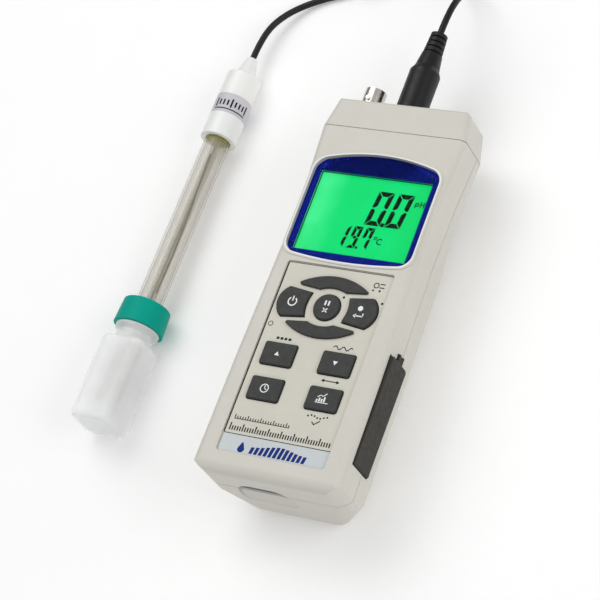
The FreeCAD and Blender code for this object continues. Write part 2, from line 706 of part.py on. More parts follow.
def make_keypad():
    floor_z = CASE_THICKNESS - RECESS_DEPTH
    panel = rounded_block(RECESS_HALF_WIDTH - 0.15, STRIP_TOP, RECESS_TOP - 0.15, 1.0,
                          floor_z, floor_z + PANEL_THICKNESS)
    for wire_maker in KEY_WIRES.values():
        panel = panel.cut(key_prism(wire_maker, KEY_GAP, 38, 46))
    for sign in (-1, 1):
        panel = panel.cut(prism(arc_pad_wire(sign, 0.1, 40), (0, 0, 6)))
    save("keypad_panel", panel)
    strip = rounded_block(RECESS_HALF_WIDTH - 0.4, RECESS_BOTTOM + 0.4, STRIP_TOP - 0.2, 0.6,
                          floor_z, floor_z + 0.2)
    save("label_strip", strip)
    base_z = BOARD_TOP_Z + 0.05
    mat = rounded_block(26.0, -60.0, 7.0, 2.0, base_z, base_z + 1.2)
    domes = []
    for x, y in KEY_CENTRES:
        domes.append(cone(4.0, 2.6, (x, y, base_z + 1.0), (x, y, KEY_BASE_Z - 1.1)))
    save("keymat", fuse([mat] + domes))


def make_boards():
    low = BOARD_TOP_Z - BOARD_THICKNESS
    board = box((-BOARD_HALF_WIDTH, BOARD_Y[0], low), (BOARD_HALF_WIDTH, BOARD_Y[1], BOARD_TOP_Z))
    for x, y in CASE_SCREW_PLACES:
        board = board.cut(cylinder(4.2, (x, y, low - 1), (x, y, BOARD_TOP_Z + 1)))
    save("main_board", board)
    x, y = BEEPER_PLACE
    beeper = cylinder(6.0, (x, y, low - 6.0), (x, y, low))
    save("beeper", beeper.cut(cylinder(1.0, (x, y, low - 7.0), (x, y, low - 5.0))))


# ------------------------------------------------------------------ side ports

def make_ports():
    low = BOARD_TOP_Z - BOARD_THICKNESS
    wall = 31.6
    dc = box((17.5, DC_JACK_Y - 4.5, JACK_Z - 5.0), (28.4, DC_JACK_Y + 4.5, low))
    dc = dc.fuse(cylinder(DC_BORE_RADIUS + 0.2, (28, DC_JACK_Y, JACK_Z), (wall, DC_JACK_Y, JACK_Z)))
    dc = dc.cut(cylinder(DC_BORE_RADIUS - 0.4, (21, DC_JACK_Y, JACK_Z), (40, DC_JACK_Y, JACK_Z)))
    save("dc_jack", dc.fuse(cylinder(1.0, (20.8, DC_JACK_Y, JACK_Z), (wall - 1, DC_JACK_Y, JACK_Z))).removeSplitter())
    serial = box((17.5, SERIAL_JACK_Y - 3.2, JACK_Z - 3.0), (28.4, SERIAL_JACK_Y + 3.2, low))
    nose = cylinder(SERIAL_BORE_RADIUS + 0.7, (28, SERIAL_JACK_Y, JACK_Z), (wall, SERIAL_JACK_Y, JACK_Z))
    serial = serial.fuse(nose)
    bore = cylinder(SERIAL_BORE_RADIUS, (19.5, SERIAL_JACK_Y, JACK_Z), (40, SERIAL_JACK_Y, JACK_Z))
    save("serial_jack", serial.cut(bore).removeSplitter())
    button = cylinder(1.5, (26.9, RESET_Y, JACK_Z), (wall, RESET_Y, JACK_Z))
    save("reset_button", button.fuse(box((26.0, RESET_Y - 2.4, JACK_Z - 2.4), (27.0, RESET_Y + 2.4, JACK_Z + 2.4))))
    save("reset_switch", box((19.0, RESET_Y - 3.0, JACK_Z - 3.0), (25.0, RESET_Y + 3.0, low)))


def make_port_cover():
    """Rubber cover over the side ports, with a round hinged end and a pull tab that has a V notch."""
    outer_x = PORT_FLOOR_X + 0.15 + PORT_COVER_THICKNESS
    hinge_x, hinge_y = PORT_HINGE
    points = [
        (hinge_y, PORT_Z[0]),
        (PORT_Y[1], PORT_Z[0]),
        (PORT_Y[1], PORT_Z[1]),
        (hinge_y, PORT_Z[1]),
    ]
    start_x = PORT_FLOOR_X + 0.15
    wire = rounded_wire(points, [0.3, 1.6, 1.6, 0.3], lambda y, z: Vector(start_x, y, z))
    flap = prism(wire, (outer_x - start_x, 0, 0))
    rim = [edge for edge in flap.Edges if edge.BoundBox.XMin > outer_x - 0.01 and edge.BoundBox.YMax > hinge_y + 1.0]
    flap = flap.makeFillet(0.6, rim)
    bead = cylinder(PORT_COVER_THICKNESS / 2, (hinge_x, hinge_y, PORT_Z[0]), (hinge_x, hinge_y, PORT_Z[1]))
    ends = [edge for edge in bead.Edges if edge.BoundBox.ZMax - edge.BoundBox.ZMin < 0.01]
    flap = flap.fuse(bead.makeFillet(0.3, ends))
    tab_end = PORT_Y[1] + PORT_TAB_LENGTH
    tab = box((start_x, PORT_Y[1] - 1, PORT_TAB_Z[0]), (outer_x - 0.6, tab_end, PORT_TAB_Z[1]))
    middle_z = (PORT_TAB_Z[0] + PORT_TAB_Z[1]) / 2
    notch = Part.Wire([
        Part.LineSegment(Vector(0, tab_end + 0.1, middle_z - 1.1), Vector(0, tab_end - 1.4, middle_z)).toShape(),
        Part.LineSegment(Vector(0, tab_end - 1.4, middle_z), Vector(0, tab_end + 0.1, middle_z + 1.1)).toShape(),
        Part.LineSegment(Vector(0, tab_end + 0.1, middle_z + 1.1), Vector(0, tab_end + 0.1, middle_z - 1.1)).toShape(),
    ])
    tab = tab.cut(prism(notch, (50, 0, 0)))
    save("port_cover", flap.fuse(tab).removeSplitter())


def make_card():
    width, length, thickness = CARD_SIZE
    low = (CARD_X - width / 2, CARD_END_Y, CARD_Z - thickness / 2)
    high = (CARD_X + width / 2, CARD_END_Y + length, CARD_Z + thickness / 2)
    card = box(low, high)
    finger_edge = box((low[0] - 1, low[1] + 1.0, high[2] - 0.4), (high[0] + 1, low[1] + 1.6, high[2] + 1))
    save("memory_card", card.cut(finger_edge))
    outside = box((low[0] - 1.4, -82.4, low[2] - 1.2), (high[0] + 1.4, high[1] + 1.5, high[2] + 1.2))
    inside = box((low[0] - 0.35, -90, low[2] - 0.35), (high[0] + 0.35, high[1] + 0.5, high[2] + 0.35))
    legs = []
    for x in (low[0] - 0.4, high[0] + 0.4):
        for y in (-80.5, -58.5):
            legs.append(cylinder(0.9, (x, y, high[2] + 1.0), (x, y, BOARD_TOP_Z - BOARD_THICKNESS)))
    legs = [leg for leg in legs if leg.BoundBox.YMin > BOARD_Y[0] - 4]
    save("card_socket", fuse([outside.cut(inside)] + legs))


# ------------------------------------------------------------------ batteries, cover and stand

def make_batteries():
    cells = []
    contacts = []
    for start in CELL_ROWS:
        can_end = start + CELL_CAN_LENGTH
        tip_end = can_end + CELL_TIP_LENGTH
        for column in (-1, 0, 1):
            x = column * CELL_PITCH
            can = cylinder(CELL_RADIUS, (x, start, CELL_Z), (x, can_end, CELL_Z))
            cells.append(can.fuse(cylinder(2.6, (x, can_end - 0.1, CELL_Z), (x, tip_end, CELL_Z))))
            for low_y in (start - CONTACT_THICKNESS, tip_end):
                contacts.append(box((x - 4.0, low_y, CELL_Z - 4.0), (x + 4.0, low_y + CONTACT_THICKNESS, CELL_Z + 4.0)))
    save("battery_cells", Part.makeCompound(cells))
    save("battery_contacts", Part.makeCompound(contacts))
    roof_z = CELL_Z + CELL_RADIUS + 0.3
    y_low = CELL_ROWS[0] - CONTACT_THICKNESS - 0.02
    y_high = CELL_ROWS[1] + CELL_CAN_LENGTH + CELL_TIP_LENGTH + CONTACT_THICKNESS + 0.02
    outside = box((-TRAY_HALF_WIDTH, y_low - 1.1, 9.2), (TRAY_HALF_WIDTH, y_high + 1.1, roof_z + 1.3))
    inside = box((1.0 - TRAY_HALF_WIDTH, y_low, 0.0), (TRAY_HALF_WIDTH - 1.0, y_high, roof_z))
    save("battery_tray", outside.cut(inside))


def make_battery_cover(outer, inner):
    zone = box(
        (-COVER_HALF_WIDTH + COVER_GAP, COVER_Y[0] + COVER_GAP, -1.0),
        (COVER_HALF_WIDTH - COVER_GAP, COVER_Y[1] - COVER_GAP, COVER_SIDE_Z - COVER_GAP),
    )
    cover = outer.cut(inner).common(zone)
    for row in range(7):
        y = -66.0 + row * 2.6
        cover = cover.cut(box((-8, y, -1), (8, y + 1.2, COVER_GRIP_DEPTH)))
    save("battery_cover", cover)


def make_stand():
    plate = box((-STAND_HALF_WIDTH, -STAND_LENGTH, -STAND_THICKNESS / 2 - 0.6),
                (STAND_HALF_WIDTH, 0.5, STAND_THICKNESS / 2 - 0.6))
    barrel = cylinder(STAND_BARREL_RADIUS, (-STAND_HALF_WIDTH, 0, 0), (STAND_HALF_WIDTH, 0, 0))
    window = box((-STAND_HALF_WIDTH + 6, -STAND_LENGTH + 7, -5), (STAND_HALF_WIDTH - 6, -6, 5))
    stand = plate.cut(window).fuse(barrel)
    bore = cylinder(STAND_PIN_RADIUS + 0.05, (-20, 0, 0), (20, 0, 0))
    save("stand", stand_placed(stand.cut(bore).removeSplitter()))
    save("stand_pin", stand_pin_solid(STAND_HALF_WIDTH + 1.7))


def make_screws():
    screws = []
    for x, y in CASE_SCREW_PLACES:
        head = cylinder(2.7, (x, y, CASE_SCREW_SEAT_Z - 2.2), (x, y, CASE_SCREW_SEAT_Z))
        shank = cylinder(1.35, (x, y, CASE_SCREW_SEAT_Z - 0.1), (x, y, 40.0))
        slot = box((x - 2.0, y - 0.35, 0), (x + 2.0, y + 0.35, CASE_SCREW_SEAT_Z - 1.2))
        cross = box((x - 0.35, y - 2.0, 0), (x + 0.35, y + 2.0, CASE_SCREW_SEAT_Z - 1.2))
        screws.append(head.fuse(shank).cut(slot).cut(cross))
    save("case_screws", Part.makeCompound(screws))


# ------------------------------------------------------------------ sockets and plug

def make_sockets():
    z = SOCKET_Z
    face = HALF_LENGTH
    sleeve = tube(BNC_RADIUS, BNC_RADIUS - 0.75, (BNC_X, face + 0.4, z), (BNC_X, BNC_END_Y, z))
    floor = cylinder(BNC_RADIUS, (BNC_X, 78.5, z), (BNC_X, face + 2.5, z))
    lugs = cylinder(1.0, (BNC_X, BNC_LUG_Y, z - BNC_RADIUS - 0.9), (BNC_X, BNC_LUG_Y, z + BNC_RADIUS + 0.9))
    lugs = lugs.cut(cylinder(BNC_RADIUS - 0.4, (BNC_X, BNC_LUG_Y - 3, z), (BNC_X, BNC_LUG_Y + 3, z)))
    shell = fuse([sleeve, floor, lugs]).cut(cylinder(2.6, (BNC_X, 70, z), (BNC_X, 110, z)))
    save("bnc_shell", shell)
    insulator = cylinder(2.6, (BNC_X, 77.5, z), (BNC_X, BNC_INSULATOR_END_Y, z))
    save("bnc_insulator", insulator.cut(cylinder(0.7, (BNC_X, 70, z), (BNC_X, 110, z))))
    save("bnc_pin", cylinder(0.7, (BNC_X, 74.5, z), (BNC_X, BNC_PIN_END_Y, z)))
    nut = hexagon(BNC_NUT_HALF, face, 2.2, BNC_X)
    save("bnc_nut", nut.cut(cylinder(BNC_RADIUS, (BNC_X, 80, z), (BNC_X, 100, z))))
    flange = cylinder(DIN_FLANGE_RADIUS, (DIN_X, face, z), (DIN_X, face + 1.6, z))
    barrel = cylinder(DIN_FLANGE_RADIUS - 1.25, (DIN_X, 76.5, z), (DIN_X, face + 1.0, z))
    socket = flange.fuse(barrel).cut(cylinder(DIN_SHELL_RADIUS + 0.3, (DIN_X, 79.0, z), (DIN_X, 95, z)))
    core = cylinder(DIN_SHELL_RADIUS - 1.1, (DIN_X, 78.8, z), (DIN_X, face - 0.5, z))
    for x, pin_z in din_pin_places():
        core = core.cut(cylinder(DIN_PIN_RADIUS + 0.3, (x, 79.5, pin_z), (x, 95, pin_z)))
    save("din_socket", socket.fuse(core).removeSplitter())
    ring = tube(4.4, 3.0, (PROBE_JACK_X, face, z), (PROBE_JACK_X, face + 1.4, z))
    body = tube(3.0, PROBE_JACK_BORE, (PROBE_JACK_X, face + 2.2 - PROBE_JACK_DEPTH, z), (PROBE_JACK_X, face + 2.2, z))
    back = cylinder(3.0, (PROBE_JACK_X, face - PROBE_JACK_DEPTH + 0.7, z),
                    (PROBE_JACK_X, face + 2.2 - PROBE_JACK_DEPTH, z))
    save("temperature_jack", fuse([ring, body, back]))


def hexagon(half_flat, y, length, x):
    points = []
    for index in range(6):
        angle = math.radians(60 * index + 30)
        reach = half_flat / math.cos(math.radians(30))
        points.append((x + reach * math.cos(angle), SOCKET_Z + reach * math.sin(angle)))
    wire = rounded_wire(points, [0.4] * 6, lambda a, b: Vector(a, y, b))
    return prism(wire, (0, length, 0))


def din_pin_places():
    places = []
    for angle in DIN_PIN_ANGLES:
        turn = math.radians(angle)
        places.append((DIN_X + DIN_PIN_CIRCLE * math.sin(turn), SOCKET_Z - DIN_PIN_CIRCLE * math.cos(turn)))
    return places


def make_plug():
    z = SOCKET_Z

    def at(y):
        return (DIN_X, y, z)

    body = fuse([
        cylinder(PLUG_RADIUS - 0.4, at(PLUG_START_Y), at(PLUG_START_Y + 1.2)),
        cylinder(PLUG_RADIUS, at(PLUG_START_Y + 1.0), at(PLUG_SHOULDER_Y)),
        cone(PLUG_RADIUS, 5.6, at(PLUG_SHOULDER_Y), at(PLUG_SHOULDER_Y + 2.6)),
        cone(5.6, 4.6, at(PLUG_SHOULDER_Y + 2.6), at(PLUG_NECK_Y)),
    ])
    save("din_plug_body", body)
    shell = tube(DIN_SHELL_RADIUS, DIN_SHELL_RADIUS - 0.6, at(80.5), at(PLUG_START_Y))
    save("din_plug_shell", shell.fuse(cylinder(DIN_SHELL_RADIUS, at(PLUG_START_Y - 1.2), at(PLUG_START_Y))))
    pins = []
    for x, pin_z in din_pin_places():
        pins.append(cylinder(DIN_PIN_RADIUS, (x, 81.0, pin_z), (x, PLUG_START_Y - 1.2, pin_z)))
    save("din_plug_pins", Part.makeCompound(pins))
    ribs = [cylinder(2.6, at(PLUG_NECK_Y), at(PLUG_END_Y))]
    rib_count = 4
    pitch = (PLUG_END_Y - PLUG_NECK_Y) / rib_count
    for index in range(rib_count):
        radius = 4.3 - 0.16 * index
        start = PLUG_NECK_Y + index * pitch + 0.75
        ribs.append(cylinder(radius, at(start), at(PLUG_NECK_Y + (index + 1) * pitch)))
    save("din_strain_relief", fuse(ribs))


# ------------------------------------------------------------------ electrode set

def set_placed(shape):
    """Lay a shape built along +Y on the table, on the bottle cap and the electrode's head."""
    placed = shape.copy()
    placed.rotate(Vector(0, 0, 0), Vector(1, 0, 0), -math.degrees(SET_TILT))
    rise = CAP_START * math.sin(SET_TILT) + CAP_RADIUS_START * math.cos(SET_TILT)
    placed.translate(Vector(SET_X, SET_Y, rise))
    return placed


def along(start, end, radius):
    return cylinder(radius, (0, start, 0), (0, end, 0))


def along_cone(start, end, radius_start, radius_end):
    return cone(radius_start, radius_end, (0, start, 0), (0, end, 0))


def square_length(side, corner, start, end):
    half = side / 2
    points = [(-half, -half), (half, -half), (half, half), (-half, half)]
    wire = rounded_wire(points, [corner] * 4, lambda x, z: Vector(x, start, z))
    return prism(wire, (0, end - start, 0))


def make_bottle():
    outside = square_length(BOTTLE_SIDE, BOTTLE_CORNER, 0.0, BOTTLE_LENGTH)
    ends = [edge for edge in outside.Edges if edge.BoundBox.YMax - edge.BoundBox.YMin < 0.01]
    outside = outside.makeFillet(BOTTLE_END_ROUNDING, ends)
    inner_side = BOTTLE_SIDE - 2 * BOTTLE_WALL
    cavity = square_length(inner_side, BOTTLE_CORNER - BOTTLE_WALL, BOTTLE_WALL, BOTTLE_LENGTH - BOTTLE_WALL)
    neck = along(BOTTLE_LENGTH - 0.5, BOTTLE_MOUTH, BOTTLE_NECK_RADIUS)
    bead = fuse([
        along_cone(45.2, 46.6, BOTTLE_NECK_RADIUS, BOTTLE_BEAD_RADIUS),
        along(46.6, CAP_START - 0.35, BOTTLE_BEAD_RADIUS),
    ])
    bore = along(BOTTLE_LENGTH - 5.0, BOTTLE_MOUTH + 1.0, BOTTLE_BORE_RADIUS)
    bottle = fuse([outside, neck, bead]).cut(cavity).cut(bore)
    save("bottle", set_placed(bottle))
    level = 0.5
    liquid = square_length(inner_side - 0.1, BOTTLE_CORNER - BOTTLE_WALL, BOTTLE_WALL + 0.05,
                           BOTTLE_LENGTH - BOTTLE_WALL - 0.05)
    liquid = liquid.common(box((-20, -5, -20), (20, 60, level)))
    liquid = liquid.cut(along(TUBE_START - 3.4, 60.0, TUBE_RADIUS + 0.35))
    save("storage_solution", set_placed(liquid))


def make_bottle_cap():
    skirt = along_cone(CAP_START, CAP_END, CAP_RADIUS_START, CAP_RADIUS_END)
    rim = [edge for edge in skirt.Edges if edge.BoundBox.YMin > CAP_END - 0.01]
    skirt = skirt.makeFillet(0.7, rim)
    cap = skirt.cut(along(CAP_START - 1, CAP_ROOF, CAP_BORE_RADIUS))
    cap = cap.cut(along(50, 70, TUBE_RADIUS + 0.3))
    save("bottle_cap", set_placed(cap))
    seal = along(BOTTLE_MOUTH + 0.05, CAP_ROOF - 0.05, CAP_BORE_RADIUS - 0.4).cut(along(50, 70, TUBE_RADIUS + 0.35))
    save("bottle_seal", set_placed(seal))


def make_electrode():
    tube_body = along(TUBE_START, HEAD_START + 6.0, TUBE_RADIUS).cut(along(0, 200, TUBE_INNER_RADIUS))
    for index in range(4):
        guard = box((-1.6, TUBE_START - 1, 0), (1.6, TUBE_START + 6, 10))
        guard.rotate(Vector(0, 0, 0), Vector(0, 1, 0), 90 * index + 45)
        tube_body = tube_body.cut(guard)
    save("electrode_tube", set_placed(tube_body))
    plug_start = TUBE_START + 8.5
    stem = tube(STEM_RADIUS, STEM_RADIUS - 0.6, (0, plug_start + 3.0, 0), (0, HEAD_START + 4.0, 0))
    seat = along(plug_start, plug_start + 3.0, TUBE_INNER_RADIUS).cut(along(0, 60, 1.5))
    save("electrode_stem", set_placed(stem.fuse(seat)))
    bulb = Part.makeSphere(BULB_RADIUS, Vector(0, TUBE_START + 4.6, 0))
    bulb = bulb.fuse(along(TUBE_START + 6.0, plug_start, 2.2))
    bulb = bulb.cut(Part.makeSphere(BULB_RADIUS - 0.5, Vector(0, TUBE_START + 4.6, 0)))
    save("glass_bulb", set_placed(bulb.removeSplitter()))
    save("silver_wire", set_placed(along(plug_start + 0.5, HEAD_START + 3.0, 0.5)))
    head = fuse([
        along_cone(HEAD_START, HEAD_END, HEAD_RADIUS_START, HEAD_RADIUS_END),
        along_cone(HEAD_END, NECK_START, HEAD_RADIUS_END, NECK_RADIUS_START + 0.4),
        along_cone(NECK_START, NECK_END, NECK_RADIUS_START, NECK_RADIUS_END),
    ])
    head = head.cut(along(HEAD_START - 1, HEAD_START + 6.0, TUBE_RADIUS))
    head = head.cut(along(HEAD_START + 5, HEAD_START + 8.0, TUBE_INNER_RADIUS))
    groove = along(BAND_START, BAND_END, 12).cut(along(BAND_START, BAND_END, HEAD_RADIUS_END - 0.1))
    save("electrode_head", set_placed(head.cut(groove)))
    band = along(BAND_START, BAND_END, HEAD_RADIUS_START - 0.1).cut(along(BAND_START, BAND_END, HEAD_RADIUS_END - 0.1))
    save("label_band", set_placed(band))


# ------------------------------------------------------------------ lead

def lead_tube(name, points):
    """Round tube along straight runs joined by tangent arcs; prints each arc's radius."""
    route = [Vector(*point) for point in points]
    edges = []
    radii = []
    start = route[0]
    for index in range(1, len(route) - 1):
        back = route[index - 1] - route[index]
        ahead = route[index + 1] - route[index]
        turn = math.pi - back.getAngle(ahead)
        reach = 0.45 * min(back.Length, ahead.Length)
        radius = reach / math.tan(turn / 2)
        radii.append(round(radius, 1))
        arc_start = route[index] + back.normalize() * reach
        arc_end = route[index] + ahead.normalize() * reach
        middle_way = back + ahead
        middle_way.normalize()
        centre_distance = radius / math.cos(turn / 2)
        arc_middle = route[index] + middle_way * (centre_distance - radius)
        edges.append(Part.LineSegment(start, arc_start).toShape())
        edges.append(Part.Arc(arc_start, arc_middle, arc_end).toShape())
        start = arc_end
    edges.append(Part.LineSegment(start, route[-1]).toShape())
    path = Part.Wire(edges)
    direction = route[1] - route[0]
    circle = Part.Wire([Part.Circle(route[0], direction, LEAD_RADIUS).toShape()])
    solid = path.makePipeShell([circle], True, True)
    expected = math.pi * LEAD_RADIUS ** 2 * path.Length
    print(name, "radii", radii, "length", round(path.Length, 1), "volume ratio", round(solid.Volume / expected, 4))
    save(name, solid)
    return path.Length


def make_lead():
    first = lead_tube("electrode_lead", LEAD_FROM_ELECTRODE)
    last = lead_tube("plug_lead", LEAD_TO_PLUG)
    centre = (COIL_CENTRE[0], COIL_CENTRE[1])
    height = 2 * LEAD_RADIUS * COIL_LAYERS
    outer = max(COIL_RADII) + LEAD_RADIUS
    inner = min(COIL_RADII) - LEAD_RADIUS
    save("lead_coil", tube(outer, inner, (centre[0], centre[1], 0.0), (centre[0], centre[1], height)))
    turns = [COIL_RADII[0], COIL_RADII[1], COIL_RADII[2], COIL_RADII[2], COIL_RADII[1], COIL_RADII[0], COIL_RADII[0]]
    wound = sum(2 * math.pi * radius for radius in turns)
    print("lead length", round(first + last + wound, 1))


# ------------------------------------------------------------------ build

case_outer = case_solid(0.0, 0.0)
case_inner = case_solid(FRONT_WALL, WALL)
make_shells(case_outer, case_inner)
make_display()
make_keypad()
make_keys()
make_arc_pads()
make_boards()
make_ports()
make_port_cover()
make_card()
make_batteries()
make_battery_cover(case_outer, case_inner)
make_stand()
make_screws()
make_sockets()
make_plug()
make_bottle()
make_bottle_cap()
make_electrode()
make_lead()
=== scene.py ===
import json
import math
import bpy
from mathutils import Matrix, Vector


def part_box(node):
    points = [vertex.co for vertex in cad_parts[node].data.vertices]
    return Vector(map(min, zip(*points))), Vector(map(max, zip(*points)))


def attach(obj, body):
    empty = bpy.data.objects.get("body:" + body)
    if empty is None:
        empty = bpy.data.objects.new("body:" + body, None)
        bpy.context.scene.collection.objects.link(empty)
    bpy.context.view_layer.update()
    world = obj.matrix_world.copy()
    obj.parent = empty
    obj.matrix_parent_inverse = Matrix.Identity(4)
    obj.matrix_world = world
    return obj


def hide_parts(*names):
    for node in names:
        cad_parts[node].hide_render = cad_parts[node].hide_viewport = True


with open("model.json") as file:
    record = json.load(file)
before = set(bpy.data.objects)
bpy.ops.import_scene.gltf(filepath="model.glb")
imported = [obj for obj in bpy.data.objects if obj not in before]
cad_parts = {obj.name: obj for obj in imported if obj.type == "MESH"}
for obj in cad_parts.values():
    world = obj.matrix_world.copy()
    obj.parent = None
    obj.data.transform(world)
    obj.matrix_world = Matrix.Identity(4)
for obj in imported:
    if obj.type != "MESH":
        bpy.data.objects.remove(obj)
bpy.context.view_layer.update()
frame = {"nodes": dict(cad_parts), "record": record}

MM = 0.001
# most of a noise texture's values lie between these two
NOISE_LOW = 0.3
NOISE_HIGH = 0.7


def add_object(name, data):
    item = bpy.data.objects.new(name, data)
    bpy.context.scene.collection.objects.link(item)
    return item


# ------------------------------------------------------------------ materials

def srgb(red, green, blue):
    """Linear colour of an 8-bit display colour."""
    linear = []
    for part in (red, green, blue):
        value = part / 255
        linear.append(value / 12.92 if value <= 0.04045 else ((value + 0.055) / 1.055) ** 2.4)
    return tuple(linear)


class Surface:
    """A node material around one Principled shader, in the object's own coordinates."""

    def __init__(self, name):
        self.material = bpy.data.materials.new(name)
        self.material.use_nodes = True
        self.nodes = self.material.node_tree.nodes
        self.links = self.material.node_tree.links
        self.shader = self.nodes["Principled BSDF"]
        self.place = self.nodes.new("ShaderNodeTexCoord").outputs["Object"]

    def set(self, **values):
        for name, value in values.items():
            self.shader.inputs[name.replace("_", " ")].default_value = value

    def noise(self, scale, detail=3.0, rough=0.5, stretch=None):
        node = self.nodes.new("ShaderNodeTexNoise")
        node.inputs["Scale"].default_value = scale
        node.inputs["Detail"].default_value = detail
        node.inputs["Roughness"].default_value = rough
        place = self.place
        if stretch:
            mapping = self.nodes.new("ShaderNodeMapping")
            mapping.inputs["Scale"].default_value = stretch
            self.links.new(place, mapping.inputs["Vector"])
            place = mapping.outputs["Vector"]
        self.links.new(place, node.inputs["Vector"])
        return node.outputs["Fac"]

    def ramp(self, source, stops):
        node = self.nodes.new("ShaderNodeValToRGB")
        self.links.new(source, node.inputs["Fac"])
        elements = node.color_ramp.elements
        while len(elements) < len(stops):
            elements.new(0.5)
        for element, (position, colour) in zip(elements, stops):
            element.position = position
            element.color = (*colour, 1.0)
        return node.outputs["Color"]

    def colour(self, base, variation, scale):
        low = tuple(part * (1 - variation) for part in base)
        high = tuple(min(1.0, part * (1 + variation)) for part in base)
        tone = self.ramp(self.noise(scale, 4.0), [(NOISE_LOW, low), (NOISE_HIGH, high)])
        self.links.new(tone, self.shader.inputs["Base Color"])
        return tone

    def roughness(self, low, high, scale):
        tone = self.between(self.noise(scale), NOISE_LOW, NOISE_HIGH, low, high)
        self.links.new(tone, self.shader.inputs["Roughness"])

    def bump(self, height, depth, strength):
        node = self.nodes.new("ShaderNodeBump")
        node.inputs["Distance"].default_value = depth
        node.inputs["Strength"].default_value = strength
        self.links.new(height, node.inputs["Height"])
        self.links.new(node.outputs["Normal"], self.shader.inputs["Normal"])

    def facing(self):
        """0 where the surface faces the viewer, to 1 at its rim."""
        node = self.nodes.new("ShaderNodeLayerWeight")
        node.inputs["Blend"].default_value = 0.5
        return node.outputs["Facing"]

    def axis(self, letter):
        node = self.nodes.new("ShaderNodeSeparateXYZ")
        self.links.new(self.place, node.inputs["Vector"])
        return node.outputs[letter]

    def between(self, source, low, high, start=0.0, end=1.0):
        """Start to end as the source goes from low to high."""
        node = self.nodes.new("ShaderNodeMapRange")
        node.inputs["From Min"].default_value = low
        node.inputs["From Max"].default_value = high
        node.inputs["To Min"].default_value = start
        node.inputs["To Max"].default_value = end
        self.links.new(source, node.inputs["Value"])
        return node.outputs["Result"]

    def mix(self, factor, first, second):
        node = self.nodes.new("ShaderNodeMix")
        node.data_type = "RGBA"
        self.links.new(factor, node.inputs["Factor"])
        for socket, value in (("A", first), ("B", second)):
            target = [item for item in node.inputs if item.name == socket and item.type == "RGBA"][0]
            if isinstance(value, tuple):
                target.default_value = (*value, 1.0)
            else:
                self.links.new(value, target)
        return [item for item in node.outputs if item.type == "RGBA"][0]


def plastic(name, base, low=0.42, high=0.55, variation=0.03, grain=2600, depth=0.00002):
    surface = Surface(name)
    surface.colour(base, variation, 60)
    surface.roughness(low, high, 400)
    surface.bump(surface.noise(grain, 2.0), depth, 0.6)
    return surface


def metal(name, base, low, high, brush=None, depth=0.00001):
    surface = Surface(name)
    surface.colour(base, 0.05, 300)
    surface.roughness(low, high, 700)
    surface.set(Metallic=1.0)
    surface.bump(surface.noise(1500, 2.0, stretch=brush), depth, 0.5)
    return surface


def clear(name, base, alpha, low, high):
    """A see-through material; with no base, the caller links its colour."""
    surface = Surface(name)
    if base:
        surface.colour(base, 0.04, 120)
    surface.roughness(low, high, 300)
    surface.set(Alpha=alpha, IOR=1.45)
    surface.bump(surface.noise(500, 2.0), 0.00003, 0.3)
    return surface


